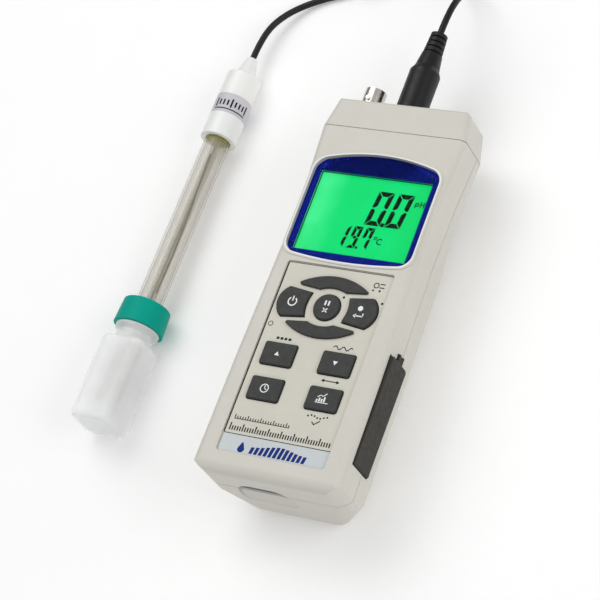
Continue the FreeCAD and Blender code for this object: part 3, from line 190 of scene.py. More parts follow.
def make_materials():
    made = {}

    case = Surface("case_plastic")
    tone = case.colour(srgb(212, 209, 200), 0.02, 30)
    speck = case.between(case.noise(5200, 1.0), 0.62, 0.74)
    shaded = case.mix(speck, tone, srgb(196, 192, 184))
    case.links.new(shaded, case.shader.inputs["Base Color"])
    case.roughness(0.46, 0.6, 300)
    case.bump(case.noise(3000, 2.0), 0.00003, 0.7)
    made["case_plastic"] = case

    window = Surface("window_plastic")
    window.colour(srgb(20, 24, 34), 0.1, 80)
    window.set(Alpha=0.035, IOR=1.49, Specular_IOR_Level=0.3)
    window.roughness(0.04, 0.09, 200)
    made["clear_window"] = window

    border = plastic("border_ink", srgb(0, 26, 136), 0.45, 0.55, 0.05, 1500, 0.00001)
    border.set(Specular_IOR_Level=0.05)
    made["border_ink"] = border

    lcd = Surface("lcd_glass")
    across = lcd.between(lcd.axis("X"), -0.027, -0.012)
    near_edge = lcd.mix(across, srgb(60, 196, 122), srgb(0, 176, 92))
    right = lcd.between(lcd.axis("X"), 0.016, 0.028)
    lit = lcd.mix(right, near_edge, srgb(0, 168, 78))
    cloud = lcd.noise(70, 2.0)
    lit = lcd.mix(lcd.between(cloud, 0.35, 0.85), lit, srgb(0, 172, 84))
    lcd.links.new(lit, lcd.shader.inputs["Base Color"])
    lcd.links.new(lit, lcd.shader.inputs["Emission Color"])
    lcd.set(Emission_Strength=1.0, Specular_IOR_Level=0.05)
    lcd.roughness(0.35, 0.45, 800)
    made["lcd"] = lcd

    light = plastic("backlight_guide", srgb(120, 230, 160), 0.4, 0.5)
    light.set(Emission_Color=(0.1, 0.9, 0.4, 1.0), Emission_Strength=0.3)
    made["backlight"] = light

    made["frame_metal"] = metal("frame_metal", srgb(176, 178, 182), 0.3, 0.45, (1.0, 12.0, 1.0))
    made["board_rubber"] = plastic("board_rubber", srgb(120, 122, 124), 0.6, 0.75)

    film = plastic("keypad_film", srgb(207, 204, 191), 0.38, 0.5, 0.025, 4000, 0.00001)
    made["keypad_film"] = film
    label = plastic("label_film", srgb(198, 204, 206), 0.34, 0.44, 0.03, 3000, 0.000008)
    made["label_film"] = label

    key = Surface("key_rubber")
    tone = key.colour(srgb(56, 58, 56), 0.06, 120)
    worn = key.between(key.noise(900, 5.0, 0.7), 0.58, 0.85)
    key.links.new(key.mix(worn, tone, srgb(68, 71, 69)), key.shader.inputs["Base Color"])
    key.roughness(0.5, 0.66, 500)
    key.bump(key.noise(2200, 2.0), 0.00004, 0.7)
    key.set(Specular_IOR_Level=0.3)
    made["key_rubber"] = key

    board = Surface("circuit_board")
    tracks = board.noise(260, 1.0, stretch=(1.0, 6.0, 1.0))
    tone = board.ramp(tracks, [(0.45, srgb(20, 92, 52)), (0.5, srgb(34, 120, 66))])
    board.links.new(tone, board.shader.inputs["Base Color"])
    board.roughness(0.25, 0.4, 300)
    board.bump(tracks, 0.00003, 0.4)
    made["circuit_board"] = board

    made["black_plastic"] = plastic("black_plastic", srgb(36, 36, 37), 0.4, 0.55, 0.08)

    cover = Surface("cover_rubber")
    tone = cover.colour(srgb(50, 48, 44), 0.08, 90)
    dust = cover.between(cover.noise(700, 6.0, 0.75), 0.6, 0.82)
    cover.links.new(cover.mix(dust, tone, srgb(92, 88, 78)), cover.shader.inputs["Base Color"])
    cover.roughness(0.5, 0.68, 400)
    cover.bump(cover.noise(1900, 3.0), 0.00006, 0.8)
    cover.set(Specular_IOR_Level=0.3)
    made["cover_rubber"] = cover

    made["card_plastic"] = plastic("card_plastic", srgb(152, 154, 154), 0.3, 0.42, 0.05)
    cells = Surface("cell_can")
    along = cells.axis("Y")
    tone = cells.ramp(cells.between(along, -0.085, 0.02),
                      [(0.0, srgb(40, 44, 52)), (0.36, srgb(196, 160, 74)), (0.5, srgb(40, 44, 52))])
    cells.links.new(tone, cells.shader.inputs["Base Color"])
    cells.roughness(0.25, 0.4, 300)
    cells.bump(cells.noise(900), 0.00001, 0.4)
    made["cell_can"] = cells
    made["spring_metal"] = metal("spring_metal", srgb(190, 190, 192), 0.2, 0.35)
    made["pin_steel"] = metal("pin_steel", srgb(165, 167, 170), 0.25, 0.4)

    chrome = metal("bright_plating", srgb(214, 211, 202), 0.16, 0.26, (1.0, 14.0, 1.0), 0.000015)
    made["bright_plating"] = chrome
    made["white_insulator"] = plastic("white_insulator", srgb(236, 234, 228), 0.35, 0.45)
    made["contact_gold"] = metal("contact_gold", srgb(222, 184, 98), 0.14, 0.26)

    plug = plastic("plug_plastic", srgb(20, 21, 21), 0.34, 0.48, 0.1, 1800, 0.00004)
    plug.set(Specular_IOR_Level=0.32)
    made["plug_plastic"] = plug

    bottle = clear("frosted_bottle", srgb(250, 250, 252), 0.42, 0.34, 0.48)
    bottle.set(Subsurface_Weight=0.3, Subsurface_Radius=(0.006, 0.006, 0.006))
    # painted light: a faint white emission makes the bottle glow, standing in for light scattered through the
    # frosted plastic
    bottle.set(Emission_Color=(1.0, 1.0, 1.0, 1.0), Emission_Strength=0.1)
    made["frosted_bottle"] = bottle
    made["solution"] = clear("solution", srgb(224, 232, 232), 0.14, 0.05, 0.1)

    teal = plastic("teal_plastic", srgb(0, 160, 142), 0.45, 0.55, 0.04, 1500, 0.00002)
    teal.set(Specular_IOR_Level=0.1)
    made["teal_plastic"] = teal
    made["seal_rubber"] = plastic("seal_rubber", srgb(52, 52, 54), 0.6, 0.7)

    tube = clear("tube_plastic", None, 0.34, 0.05, 0.1)
    head_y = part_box("electrode_head")[0].y
    glue = tube.between(tube.axis("Y"), head_y - 0.004, head_y + 0.0005)
    body = tube.mix(glue, srgb(212, 206, 188), srgb(196, 196, 96))
    facing = tube.facing()
    # painted shade: the facing mask darkens the tube's colour towards its rim, where refraction darkens a
    # clear tube
    painted_shade_edge = tube.between(facing, 0.68, 0.92)
    tube.links.new(tube.mix(painted_shade_edge, body, srgb(44, 38, 28)), tube.shader.inputs["Base Color"])
    tube.links.new(tube.between(facing, 0.6, 0.9, 0.22, 0.9), tube.shader.inputs["Alpha"])
    tube.set(Coat_Weight=0.7, Coat_Roughness=0.04)
    made["tube_plastic"] = tube
    stem = clear("stem_glass", None, 0.22, 0.05, 0.12)
    # painted shade: the facing mask darkens the stem's colour towards its rim, where refraction darkens clear
    # glass
    painted_shade_edge = stem.between(stem.facing(), 0.55, 0.85)
    stem.links.new(stem.mix(painted_shade_edge, srgb(206, 200, 182), srgb(46, 40, 32)), stem.shader.inputs["Base Color"])
    made["stem_glass"] = stem
    made["bulb_glass"] = clear("bulb_glass", srgb(236, 240, 240), 0.3, 0.03, 0.08)
    made["silver_wire"] = metal("silver_wire", srgb(34, 29, 23), 0.4, 0.55)

    white = plastic("white_plastic", srgb(246, 245, 242), 0.3, 0.42, 0.02, 1800, 0.00002)
    white.set(Coat_Weight=0.2, Coat_Roughness=0.2, Subsurface_Weight=0.08)
    made["white_plastic"] = white
    made["band_film"] = plastic("band_film", srgb(206, 204, 210), 0.4, 0.5, 0.06)

    lead = plastic("lead_jacket", srgb(17, 17, 18), 0.38, 0.5, 0.12, 1600, 0.00003)
    lead.set(Specular_IOR_Level=0.35)
    made["lead_jacket"] = lead

    made["white_ink"] = plastic("white_ink", srgb(238, 240, 240), 0.45, 0.55, 0.02)
    black = plastic("black_ink", srgb(26, 25, 24), 0.5, 0.6, 0.08)
    black.set(Specular_IOR_Level=0.2)
    made["black_ink"] = black
    blue = plastic("blue_ink", srgb(8, 40, 122), 0.45, 0.55, 0.05)
    blue.set(Specular_IOR_Level=0.15)
    made["blue_ink"] = blue
    digits = plastic("lcd_segment", srgb(2, 26, 14), 0.4, 0.5, 0.1)
    digits.set(Specular_IOR_Level=0.05)
    made["lcd_segment"] = digits
    return {name: surface.material for name, surface in made.items()}


MATERIALS = make_materials()


def dress_nodes():
    for part in frame["record"]["subparts"]:
        node = frame["nodes"][part["node"]]
        material = MATERIALS[part["material_slot"]]
        node.data.materials.clear()
        node.data.materials.append(material)


dress_nodes()


# ------------------------------------------------------------------ flat marks

def rectangle(x, y, width, height, turn=0.0):
    c, s = math.cos(math.radians(turn)), math.sin(math.radians(turn))
    right, top = width / 2, height / 2
    corners = [(-right, -top), (right, -top), (right, top), (-right, top)]
    return [(x + a * c - b * s, y + a * s + b * c) for a, b in corners]


def disc(x, y, radius, count=24):
    turns = [2 * math.pi * index / count for index in range(count)]
    return [(x + radius * math.cos(turn), y + radius * math.sin(turn)) for turn in turns]


def arc_band(x, y, radius, width, start, end, count=24):
    """Quads along an arc, from start to end in degrees."""
    quads = []
    inner, outer = radius - width / 2, radius + width / 2
    for index in range(count):
        a = math.radians(start + (end - start) * index / count)
        b = math.radians(start + (end - start) * (index + 1) / count)
        quads.append([
            (x + inner * math.cos(a), y + inner * math.sin(a)),
            (x + outer * math.cos(a), y + outer * math.sin(a)),
            (x + outer * math.cos(b), y + outer * math.sin(b)),
            (x + inner * math.cos(b), y + inner * math.sin(b)),
        ])
    return quads


def triangle(x, y, width, height, up=True):
    sign = 1 if up else -1
    half, rise = width / 2, sign * height / 2
    return [(x - half, y - rise), (x + half, y - rise), (x, y + rise)]


def stroke(points, width):
    """Quads of one width along a broken line."""
    quads = []
    for (ax, ay), (bx, by) in zip(points, points[1:]):
        length = math.hypot(bx - ax, by - ay)
        turn = math.degrees(math.atan2(by - ay, bx - ax))
        quads.append(rectangle((ax + bx) / 2, (ay + by) / 2, length + width * 0.6, width, turn))
    return quads


def marks(name, outlines, low_z, material, body, height=0.05, warp=None):
    """One thin mesh from outlines in millimetres; warp turns (x, y, z) into a place."""
    vertices = []
    faces = []
    for outline in outlines:
        area = sum(a[0] * b[1] - b[0] * a[1] for a, b in zip(outline, outline[1:] + outline[:1]))
        ring = outline if area > 0 else outline[::-1]
        start = len(vertices)
        count = len(ring)
        for z in (low_z, low_z + height):
            for x, y in ring:
                place = warp(x, y, z) if warp else (x, y, z)
                vertices.append([part * MM for part in place])
        faces.append([start + index for index in reversed(range(count))])
        faces.append([start + count + index for index in range(count)])
        for index in range(count):
            after = (index + 1) % count
            faces.append([start + index, start + after, start + count + after, start + count + index])
    mesh = bpy.data.meshes.new(name)
    mesh.from_pydata(vertices, [], faces)
    mesh.update()
    piece = add_object(name, mesh)
    piece.data.materials.append(MATERIALS[material])
    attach(piece, body)
    return piece


# width, height and bar width of the display's two sizes of digit, and how far they lean
BIG_DIGIT = (7.3, 16.2, 2.15)
SMALL_DIGIT = (4.0, 10.4, 1.45)
DIGIT_LEAN = 0.12
BIG_ROW = 31.1
SMALL_ROW = 19.5
# seven bars of a display digit: a top, b and c right, d bottom, e and f left, g middle
DIGIT_BARS = {"0": "abcdef", "1": "bc", "7": "abcf", "9": "abcdfg"}


def digit(character, x, y, width, height, bar, slant):
    """Outlines of a slanted seven-bar digit with its lower left corner at x, y."""
    half = height / 2
    gap = bar * 0.12
    shapes = {
        "a": [(gap, height), (width - gap, height), (width - bar - gap, height - bar),
              (bar + gap, height - bar)],
        "d": [(gap, 0), (bar + gap, bar), (width - bar - gap, bar), (width - gap, 0)],
        "g": [(bar * 0.7, half), (bar * 1.2, half + bar / 2), (width - bar * 1.2, half + bar / 2),
              (width - bar * 0.7, half), (width - bar * 1.2, half - bar / 2), (bar * 1.2, half - bar / 2)],
        "f": [(0, height - gap), (bar, height - bar - gap), (bar, half + bar / 2 + gap),
              (bar * 0.5, half + gap), (0, half + gap * 2)],
        "e": [(0, gap), (0, half - gap * 2), (bar * 0.5, half - gap),
              (bar, half - bar / 2 - gap), (bar, bar + gap)],
        "b": [(width, height - gap), (width, half + gap * 2), (width - bar * 0.5, half + gap),
              (width - bar, half + bar / 2 + gap), (width - bar, height - bar - gap)],
        "c": [(width, gap), (width - bar, bar + gap), (width - bar, half - bar / 2 - gap),
              (width - bar * 0.5, half - gap), (width, half - gap * 2)],
    }
    return [[(x + a + slant * b, y + b) for a, b in shapes[letter]] for letter in DIGIT_BARS[character]]


def make_readout():
    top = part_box("lcd_glass")[1].z / MM
    shapes = digit("0", 1.1, BIG_ROW, *BIG_DIGIT, DIGIT_LEAN)
    shapes += digit("0", 10.6, BIG_ROW, *BIG_DIGIT, DIGIT_LEAN)
    shapes.append(rectangle(9.6, 31.9, 1.7, 1.7))
    for character, x in (("1", -8.9), ("9", -3.4), ("7", 2.2)):
        shapes += digit(character, x, SMALL_ROW, *SMALL_DIGIT, DIGIT_LEAN)
    shapes.append(rectangle(1.65, 20.1, 1.1, 1.1))
    shapes += arc_band(8.9, 25.5, 0.6, 0.35, 0, 360, 12)
    shapes += arc_band(11.3, 24.1, 1.25, 0.5, 50, 310, 14)
    shapes += stroke([(21.2, 41.9), (21.2, 44.1)], 0.45) + arc_band(22.0, 43.4, 0.7, 0.45, -150, 150, 10)
    shapes += stroke([(23.6, 42.3), (23.6, 44.9)], 0.45) + stroke([(25.1, 42.3), (25.1, 44.9)], 0.45)
    shapes += stroke([(23.6, 43.6), (25.1, 43.6)], 0.45)
    marks("readout_segments", shapes, top, "lcd_segment", "meter", 0.06)


def make_key_legends():
    def centre(node):
        low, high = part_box(node)
        return (low.x + high.x) / 2 / MM, (low.y + high.y) / 2 / MM, high.z / MM

    def put(node, shapes):
        marks(node + "_legend", shapes, centre(node)[2] - 0.01, "white_ink", node, 0.06)

    x, y, _ = centre("power_key")
    put("power_key", arc_band(x, y, 1.9, 0.55, 125, 415) + stroke([(x, y + 0.4), (x, y + 2.4)], 0.55))
    x, y, _ = centre("hold_key")
    hold = [rectangle(x - 0.8, y + 1.6, 0.75, 2.2), rectangle(x + 0.8, y + 1.6, 0.75, 2.2)]
    hold += stroke([(x - 0.9, y - 2.5), (x + 0.9, y - 0.9)], 0.5)
    hold += stroke([(x - 0.9, y - 0.9), (x + 0.9, y - 2.5)], 0.5)
    put("hold_key", hold)
    x, y, _ = centre("record_key")
    x -= 0.4
    record = [disc(x, y + 1.5, 1.15)]
    record += stroke([(x + 2.0, y - 0.7), (x + 2.0, y - 2.0), (x - 1.4, y - 2.0)], 0.5)
    record.append([(x - 2.4, y - 2.0), (x - 1.1, y - 3.0), (x - 1.1, y - 1.0)])
    put("record_key", record)
    x, y, _ = centre("up_key")
    put("up_key", [triangle(x - 0.3, y, 2.2, 1.8, True)])
    x, y, _ = centre("down_key")
    put("down_key", [triangle(x - 0.3, y, 2.2, 1.8, False)])
    x, y, _ = centre("time_key")
    clock = arc_band(x, y, 1.8, 0.42, 0, 360)
    clock += stroke([(x, y + 1.1), (x, y), (x + 0.9, y - 0.5)], 0.42)
    put("time_key", clock)
    x, y, _ = centre("set_key")
    chart = []
    for index, height in enumerate((1.0, 1.7, 1.3, 2.2)):
        chart.append(rectangle(x - 2.3 + index * 1.1, y - 1.5 + height / 2, 0.7, height))
    chart += stroke([(x - 2.8, y - 1.9), (x + 2.9, y - 1.9)], 0.35)
    chart += stroke([(x - 2.3, y + 0.5), (x - 1.1, y + 1.4), (x, y + 0.9), (x + 1.4, y + 2.3)], 0.4)
    put("set_key", chart)


def ticks(x, y, count, pitch, height, width, every=0, tall=1.5):
    """A row of scale ticks standing on y; every so many is taller."""
    rows = []
    for index in range(count):
        size = height * (tall if every and index % every == 0 else 1.0)
        rows.append(rectangle(x + index * pitch, y + size / 2, width, size))
    return rows


def make_panel_marks():
    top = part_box("keypad_panel")[1].z / MM - 0.01
    shapes = []
    # dots beside the round keys, the small ring, and the mark at the upper right
    shapes += [disc(5.7, -3.9, 0.55), disc(23.6, -4.1, 0.55)]
    shapes += arc_band(-22.7, -20.5, 1.0, 0.3, 0, 360)
    shapes += arc_band(18.2, 3.6, 1.1, 0.42, 0, 360) + stroke([(19.9, 4.4), (21.9, 4.4)], 0.45)
    shapes += stroke([(19.9, 2.8), (21.9, 2.8)], 0.45) + [triangle(17.4, 1.4, 1.2, 1.0), disc(20.4, 1.3, 0.5)]
    # the function marks over and under the square keys
    for index in range(4):
        shapes.append(rectangle(-16.9 + index * 1.9, -26.4, 1.3, 1.1))
    wave = [(9.4 + 0.3 * step, -26.4 + 0.75 * math.sin(step * 0.52)) for step in range(30)]
    shapes += stroke(wave, 0.42)
    shapes += stroke([(10.2, -41.5), (16.8, -41.5)], 0.42)
    shapes.append([(9.2, -41.5), (10.7, -42.3), (10.7, -40.7)])
    shapes.append([(17.8, -41.5), (16.3, -40.7), (16.3, -42.3)])
    for index in range(7):
        shapes.append(disc(9.4 + index * 1.45, -57.6 + 0.5 * math.sin(index * 1.3), 0.42, 12))
    shapes += stroke([(12.0, -60.0), (13.2, -61.0), (15.4, -59.2)], 0.45)
    # two rows of scale marks above the label strip
    shapes += ticks(-22.4, -64.4, 22, 1.2, 1.2, 0.42, 5, 1.6) + stroke([(-22.5, -64.4), (3.0, -64.4)], 0.3)
    shapes += ticks(-23.0, -69.6, 40, 1.19, 2.0, 0.58, 5, 1.6)
    marks("panel_marks", shapes, top, "black_ink", "meter")
    # a printed rule under the lower row of scale marks, and painted shade: dark strokes along the left and
    # top edges of the panel stand in for the shadow of the recess walls
    printed_rule_and_painted_shade = stroke([(-24.6, -71.0), (24.6, -71.0)], 0.25)
    printed_rule_and_painted_shade += stroke([(-24.9, -70.6), (-24.9, 8.4)], 0.5) + stroke([(-24.9, 8.5), (24.6, 8.5)], 0.22)
    marks("panel_rule_and_painted_recess_shade", printed_rule_and_painted_shade, top, "black_ink", "meter")


def arc_through(start, middle, end, count=14):
    """Points of the circle arc from start through middle to end."""
    (ax, ay), (bx, by), (cx, cy) = start, middle, end
    twice = 2 * (ax * (by - cy) + bx * (cy - ay) + cx * (ay - by))
    a2, b2, c2 = ax * ax + ay * ay, bx * bx + by * by, cx * cx + cy * cy
    x = (a2 * (by - cy) + b2 * (cy - ay) + c2 * (ay - by)) / twice
    y = (a2 * (cx - bx) + b2 * (ax - cx) + c2 * (bx - ax)) / twice
    radius = math.hypot(ax - x, ay - y)
    first, last = math.atan2(ay - y, ax - x), math.atan2(cy - y, cx - x)
    turn = (last - first + math.pi) % (2 * math.pi) - math.pi
    angles = [first + turn * step / count for step in range(count + 1)]
    return [(x + radius * math.cos(angle), y + radius * math.sin(angle)) for angle in angles]


def window_outline(grow):
    """Arched outline of the window in millimetres, clockwise from its upper left shoulder."""
    half, shoulder, blend = 29.6 + grow, 24.6 + grow, 28.1 + grow
    top, high, side = 62.5 + grow, 59.0 + grow, 52.5
    foot, low, base = 11.3 - grow, 13.0 - grow, 18.8
    high_mid, low_mid = 56.7 + grow, 14.95 - grow
    points = arc_through((-shoulder, high), (0, top), (shoulder, high))
    points += arc_through((shoulder, high), (blend, high_mid), (half, side))
    points += arc_through((half, base), (blend, low_mid), (shoulder, low))
    points += arc_through((shoulder, low), (0, foot), (-shoulder, low))
    points += arc_through((-shoulder, low), (-blend, low_mid), (-half, base))
    points += arc_through((-half, side), (-blend, high_mid), (-shoulder, high))
    return points


def make_painted_window_highlight_and_recess_shade():
    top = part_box("display_window")[1].z / MM
    # painted highlight: a white ring around the window stands in for light on the raised rim of the case
    # around it
    inner, outer = window_outline(0.15), window_outline(0.7)
    ring = [[inner[index - 1], inner[index], outer[index], outer[index - 1]] for index in range(len(inner))]
    marks("painted_window_rim_highlight", ring, top + 0.3, "white_ink", "meter", 0.12)
    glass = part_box("lcd_glass")
    # painted shade: a dark stroke along the left and top of the display opening stands in for the shadow of
    # the recess wall
    painted_shade_edge = stroke([(-26.6, 15.2), (-26.6, 53.3), (26.4, 53.3)], 0.5)
    marks("painted_display_recess_shade", painted_shade_edge, glass[1].z / MM, "black_ink", "meter", 0.05)


def make_strip_mark():
    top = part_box("label_strip")[1].z / MM - 0.01
    shapes = []
    # a drop, then slanted bars that climb and fall like a titration scale
    drop = []
    for index in range(24):
        turn = 2 * math.pi * index / 24
        lift = max(0.0, math.sin(turn)) ** 3 * 1.4
        pinch = 1 - 0.35 * max(0.0, math.sin(turn))
        drop.append((-14.6 + 1.6 * math.cos(turn) * pinch, -76.9 + 1.6 * math.sin(turn) + lift))
    shapes.append(drop)
    foot, width = -78.3, 1.5
    for index in range(12):
        x = -10.6 + index * 2.2
        height = 2.8 + 2.1 * math.exp(-((index - 5.5) / 3.4) ** 2)
        lean = 0.2 * height
        top_left, top_right = (x + lean, foot + height), (x + width + lean, foot + height)
        shapes.append([(x, foot), (x + width, foot), top_right, top_left])
    marks("strip_mark", shapes, top, "blue_ink", "meter")


make_readout()
make_key_legends()
make_panel_marks()
make_strip_mark()
make_painted_window_highlight_and_recess_shade()


# ------------------------------------------------------------------ electrode set details

SET_AXIS_X = -105.3
SET_START_Y = -68.7
SET_START_Z = 12.704
SET_TILT = math.radians(1.4267)
BAND_RADIUS = 8.3
BAND_MIDDLE = 163.5
WIRE_RADIUS = 0.42
WIRE_REACH = 4.45
# distance along the set and turn about it, in degrees
WIRE_STATIONS = [(66.0, 40.0), (86.0, 38.0), (108.0, 46.0), (124.0, 58.0), (138.0, 66.0)]


def on_set(radius, turn, along):
    """Place on the electrode set: radius from its axis, turn about it and distance along it."""
    across, up = radius * math.cos(turn), radius * math.sin(turn)
    return (
        SET_AXIS_X + across,
        SET_START_Y + along * math.cos(SET_TILT) + up * math.sin(SET_TILT),
        SET_START_Z - along * math.sin(SET_TILT) + up * math.cos(SET_TILT),
    )


def make_band_marks():
    def wrap(x, y, z):
        return on_set(BAND_RADIUS + z, x / BAND_RADIUS, BAND_MIDDLE + y)

    shapes = []
    for index in range(9):
        x = 1.2 + index * 1.9
        height = 4.4 if index % 4 == 0 else 2.8
        shapes.append(rectangle(x, 0.0, 0.8, height))
    shapes.append(rectangle(8.8, -3.2, 16.0, 0.55))
    pieces = []
    for shape in shapes:
        xs = [point[0] for point in shape]
        ys = [point[1] for point in shape]
        steps = max(1, int((max(xs) - min(xs)) / 0.8))
        width, height = (max(xs) - min(xs)) / steps, max(ys) - min(ys)
        for step in range(steps):
            x = min(xs) + width * (step + 0.5)
            pieces.append(rectangle(x, (min(ys) + max(ys)) / 2, width, height))
    marks("band_marks", pieces, -0.02, "black_ink", "probe", 0.06, wrap)


make_band_marks()


def make_reference_wire():
    """Dark wire inside the tube, above the stem and to its right."""
    curve = bpy.data.curves.new("reference_wire", "CURVE")
    curve.dimensions = "3D"
    curve.bevel_depth = WIRE_RADIUS * MM
    curve.bevel_resolution = 3
    curve.use_fill_caps = True
    spline = curve.splines.new("POLY")
    spline.points.add(len(WIRE_STATIONS) - 1)
    for point, (along, turn) in zip(spline.points, WIRE_STATIONS):
        place = on_set(WIRE_REACH, math.radians(turn), along)
        point.co = (*[part * MM for part in place], 1.0)
    wire = add_object("reference_wire", curve)
    curve.materials.append(MATERIALS["silver_wire"])
    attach(wire, "probe")


make_reference_wire()


# ------------------------------------------------------------------ lead

LEAD_RADIUS = 1.5
FROM_ELECTRODE = [
    (-105.3, 122.94, 7.93),
    (-105.3, 136.9, 7.6),
    (-100.6, 150.4, 4.6),
    (-89.0, 161.4, 1.55),
    (-73.3, 167.3, 1.5),
    (-58.2, 173.9, 1.5),
]
TO_PLUG = [
    (-58.4, 173.8, 7.5),
    (-46.6, 178.6, 4.4),
    (-33.0, 181.6, 1.5),
    (-17.4, 178.4, 4.6),
    (-6.6, 166.0, 16.0),
    (-4.6, 149.0, 28.5),
    (-4.6, 133.2, 28.5),
]
COIL_CENTRE = (-66.2, 192.8)
COIL_START = math.radians(-67.0)
# turn, radius, height: where the lead changes lane as it winds
COIL_LANES = [
    (0.0, 20.5, 1.5), (0.75, 20.5, 1.5), (1.0, 17.5, 1.5), (1.75, 17.5, 1.5), (2.0, 14.5, 1.5),
    (2.5, 14.5, 1.5), (2.75, 14.5, 4.5), (3.05, 14.5, 4.5), (3.3, 17.5, 4.5), (4.05, 17.5, 4.5),
    (4.3, 20.5, 4.5), (5.05, 20.5, 4.5), (5.3, 20.5, 7.5), (5.5, 20.5, 7.5), (5.75, 17.5, 7.5),
    (6.25, 17.5, 7.5), (6.5, 17.5, 10.5), (6.75, 20.5, 10.5), (7.0, 20.5, 7.5),
]
POINTS_PER_TURN = 20
COIL_TRIM = 0.982


def coil_lane(turn):
    for (a, ra, za), (b, rb, zb) in zip(COIL_LANES, COIL_LANES[1:]):
        if turn <= b:
            part = (turn - a) / (b - a)
            return (ra + (rb - ra) * part) * COIL_TRIM, za + (zb - za) * part
    return COIL_LANES[-1][1] * COIL_TRIM, COIL_LANES[-1][2]


def coil_points():
    points = []
    count = int(COIL_LANES[-1][0] * POINTS_PER_TURN)
    swell = 1 / (0.75 + 0.25 * math.cos(2 * math.pi / POINTS_PER_TURN))
    for index in range(1, count):
        turn = index / POINTS_PER_TURN
        radius, height = coil_lane(turn)
        angle = COIL_START + 2 * math.pi * turn
        points.append((COIL_CENTRE[0] + radius * swell * math.cos(angle),
                       COIL_CENTRE[1] + radius * swell * math.sin(angle), height))
    return points


def make_lead():
    route = FROM_ELECTRODE + coil_points() + TO_PLUG
    curve = bpy.data.curves.new("probe_lead", "CURVE")
    curve.dimensions = "3D"
    curve.bevel_depth = LEAD_RADIUS * MM
    curve.bevel_resolution = 5
    curve.use_fill_caps = True
    curve.resolution_u = 6
    spline = curve.splines.new("NURBS")
    spline.points.add(len(route) - 1)
    for point, place in zip(spline.points, route):
        point.co = (place[0] * MM, place[1] * MM, place[2] * MM, 1.0)
    spline.order_u = 3
    spline.use_endpoint_u = True
    lead = add_object("probe_lead", curve)
    curve.materials.append(MATERIALS["lead_jacket"])
    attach(lead, "probe")
    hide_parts("electrode_lead", "lead_coil", "plug_lead")
    return lead


TIE_TURN = 0.4
TIE_WIDTH = 3.6
TIE_THICKNESS = 0.5
TIE_HEAD_WIDTH = 4.4
TIE_HEAD_LENGTH = 5.2


def make_tie():
    """Strap round the coil's strands, with a small head on top."""
    angle = COIL_START + 2 * math.pi * TIE_TURN
    strands = [coil_lane(index + TIE_TURN) for index in range(7)]
    outline = []
    count = 72
    for index in range(count):
        turn = 2 * math.pi * index / count
        way = (math.cos(turn), math.sin(turn))
        best = max(strands, key=lambda place: place[0] * way[0] + place[1] * way[1])
        outline.append((best, way))

    def place(radius, height, along):
        x = COIL_CENTRE[0] + radius * math.cos(angle) - along * math.sin(angle)
        y = COIL_CENTRE[1] + radius * math.sin(angle) + along * math.cos(angle)
        return (x * MM, y * MM, max(height, 0.02) * MM)

    vertices = []
    for (radius, height), way in outline:
        for reach in (LEAD_RADIUS + 0.02, LEAD_RADIUS + TIE_THICKNESS):
            for along in (-TIE_WIDTH / 2, TIE_WIDTH / 2):
                vertices.append(place(radius + reach * way[0], height + reach * way[1], along))
    faces = []
    for index in range(count):
        a, b = index * 4, (index + 1) % count * 4
        faces += [[a, a + 1, b + 1, b], [a + 2, b + 2, b + 3, a + 3]]
        faces += [[a, b, b + 2, a + 2], [a + 1, a + 3, b + 3, b + 1]]
    top = max(height for _, height in strands) + LEAD_RADIUS + TIE_THICKNESS
    middle = max(strands, key=lambda place: place[1])[0]
    start = len(vertices)
    head = rectangle(middle, 0.0, TIE_HEAD_WIDTH, TIE_HEAD_LENGTH)
    for height in (top - 0.5, top + 1.6):
        for radius, along in head:
            vertices.append(place(radius, height, along))
    faces += [[start + 3, start + 2, start + 1, start], [start + 4, start + 5, start + 6, start + 7]]
    faces += [[start + index, start + (index + 1) % 4, start + 4 + (index + 1) % 4, start + 4 + index]
              for index in range(4)]
    mesh = bpy.data.meshes.new("coil_tie")
    mesh.from_pydata(vertices, [], faces)
    mesh.update()
    tie = add_object("coil_tie", mesh)
    bevel = tie.modifiers.new("edges", "BEVEL")
    bevel.width = 0.15 * MM
    bevel.segments = 2
    bevel.limit_method = "ANGLE"
    mesh.materials.append(MATERIALS["plug_plastic"])
    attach(tie, "probe")
    return tie


lead = make_lead()
tie = make_tie()


# ------------------------------------------------------------------ stage, light and camera

FLOOR_SIZE = 8.0
FLOOR_Z = -0.0004
WORLD_STRENGTH = 0.54
# brightness of the pale wall that only the camera sees
WALL_BRIGHTNESS = 1.75
# direction from below to above, and its brightness
SKY_STOPS = [(0.0, 0.75), (0.06, 0.18), (0.3, 0.38), (0.6, 0.95), (1.0, 1.0)]
# name, place, aim, size in metres and power in watts
AREA_LIGHTS = [
    ("key", (-0.55, 0.55, 1.25), (0.0, 0.0, 0.0), (1.1, 1.1), 7.6),
    ("side", (1.3, 0.1, 0.8), (0.0, 0.0, 0.02), (1.0, 0.8), 7.0),
    ("front", (0.1, -1.2, 0.9), (0.0, 0.0, 0.0), (0.9, 0.5), 2.5),
]
CAMERA_LENS = 150.8
CAMERA_PLACE = Vector((0.48802, -0.37213, 0.87731))
CAMERA_AIM = Vector((-0.026795, 0.001529, 0.022))
CAMERA_ROLL = math.radians(38.839)


def make_stage():
    mesh = bpy.data.meshes.new("floor")
    corners = [(x, y, FLOOR_Z) for x, y in rectangle(0.0, 0.0, FLOOR_SIZE, FLOOR_SIZE)]
    mesh.from_pydata(corners, [], [[0, 1, 2, 3]])
    floor = add_object("floor", mesh)
    surface = plastic("floor_paper", (0.95, 0.95, 0.95), 0.6, 0.75, 0.005, 900, 0.00002)
    surface.set(Emission_Color=(1.0, 1.0, 1.0, 1.0), Emission_Strength=0.12)
    mesh.materials.append(surface.material)


def area_light(name, place, aim, size, power):
    light = bpy.data.lights.new(name, "AREA")
    light.shape = "RECTANGLE"
    light.size, light.size_y = size
    light.energy = power
    item = add_object(name, light)
    item.location = place
    item.rotation_mode = "QUATERNION"
    item.rotation_quaternion = (Vector(aim) - Vector(place)).to_track_quat("-Z", "Y")


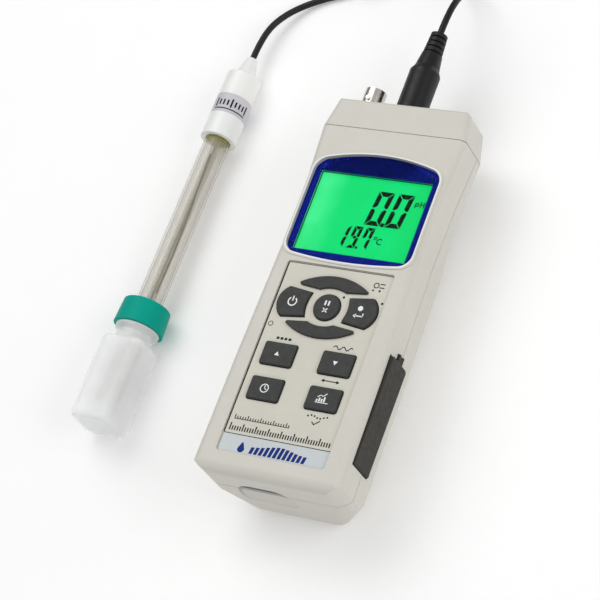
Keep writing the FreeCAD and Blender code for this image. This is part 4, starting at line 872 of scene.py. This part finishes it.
def make_light():
    world = bpy.data.worlds.new("studio")
    world.use_nodes = True
    nodes, links = world.node_tree.nodes, world.node_tree.links
    background = nodes["Background"]
    place = nodes.new("ShaderNodeTexCoord").outputs["Generated"]
    split = nodes.new("ShaderNodeSeparateXYZ")
    links.new(place, split.inputs["Vector"])
    ramp = nodes.new("ShaderNodeValToRGB")
    elements = ramp.color_ramp.elements
    while len(elements) < len(SKY_STOPS):
        elements.new(0.5)
    for element, (position, value) in zip(elements, SKY_STOPS):
        element.position = position
        element.color = (value, value, value, 1.0)
    links.new(split.outputs["Z"], ramp.inputs["Fac"])
    seen = nodes.new("ShaderNodeLightPath").outputs["Is Camera Ray"]
    wall = nodes.new("ShaderNodeMix")
    wall.data_type = "RGBA"
    links.new(seen, wall.inputs["Factor"])
    # the colour sockets of the Mix node share their names with its number sockets
    sky, pale, mixed = wall.inputs[6], wall.inputs[7], wall.outputs[2]
    links.new(ramp.outputs["Color"], sky)
    pale.default_value = (WALL_BRIGHTNESS, WALL_BRIGHTNESS, WALL_BRIGHTNESS, 1.0)
    links.new(mixed, background.inputs["Color"])
    background.inputs["Strength"].default_value = WORLD_STRENGTH
    bpy.context.scene.world = world
    for row in AREA_LIGHTS:
        area_light(*row)


def make_camera():
    data = bpy.data.cameras.new("camera")
    data.sensor_width = 36.0
    data.lens = CAMERA_LENS
    camera = add_object("camera", data)
    place = CAMERA_PLACE
    forward = (CAMERA_AIM - place).normalized()
    up = (Vector((0, 0, 1)) - forward * forward.z).normalized()
    right = forward.cross(up)
    top = up * math.cos(CAMERA_ROLL) + right * math.sin(CAMERA_ROLL)
    side = forward.cross(top)
    camera.matrix_world = Matrix((
        (side.x, top.x, -forward.x, place.x),
        (side.y, top.y, -forward.y, place.y),
        (side.z, top.z, -forward.z, place.z),
        (0, 0, 0, 1),
    ))
    data.clip_start, data.clip_end = 0.05, 20.0
    bpy.context.scene.camera = camera


make_stage()
make_light()
make_camera()
bpy.context.scene.view_settings.view_transform = "Standard"
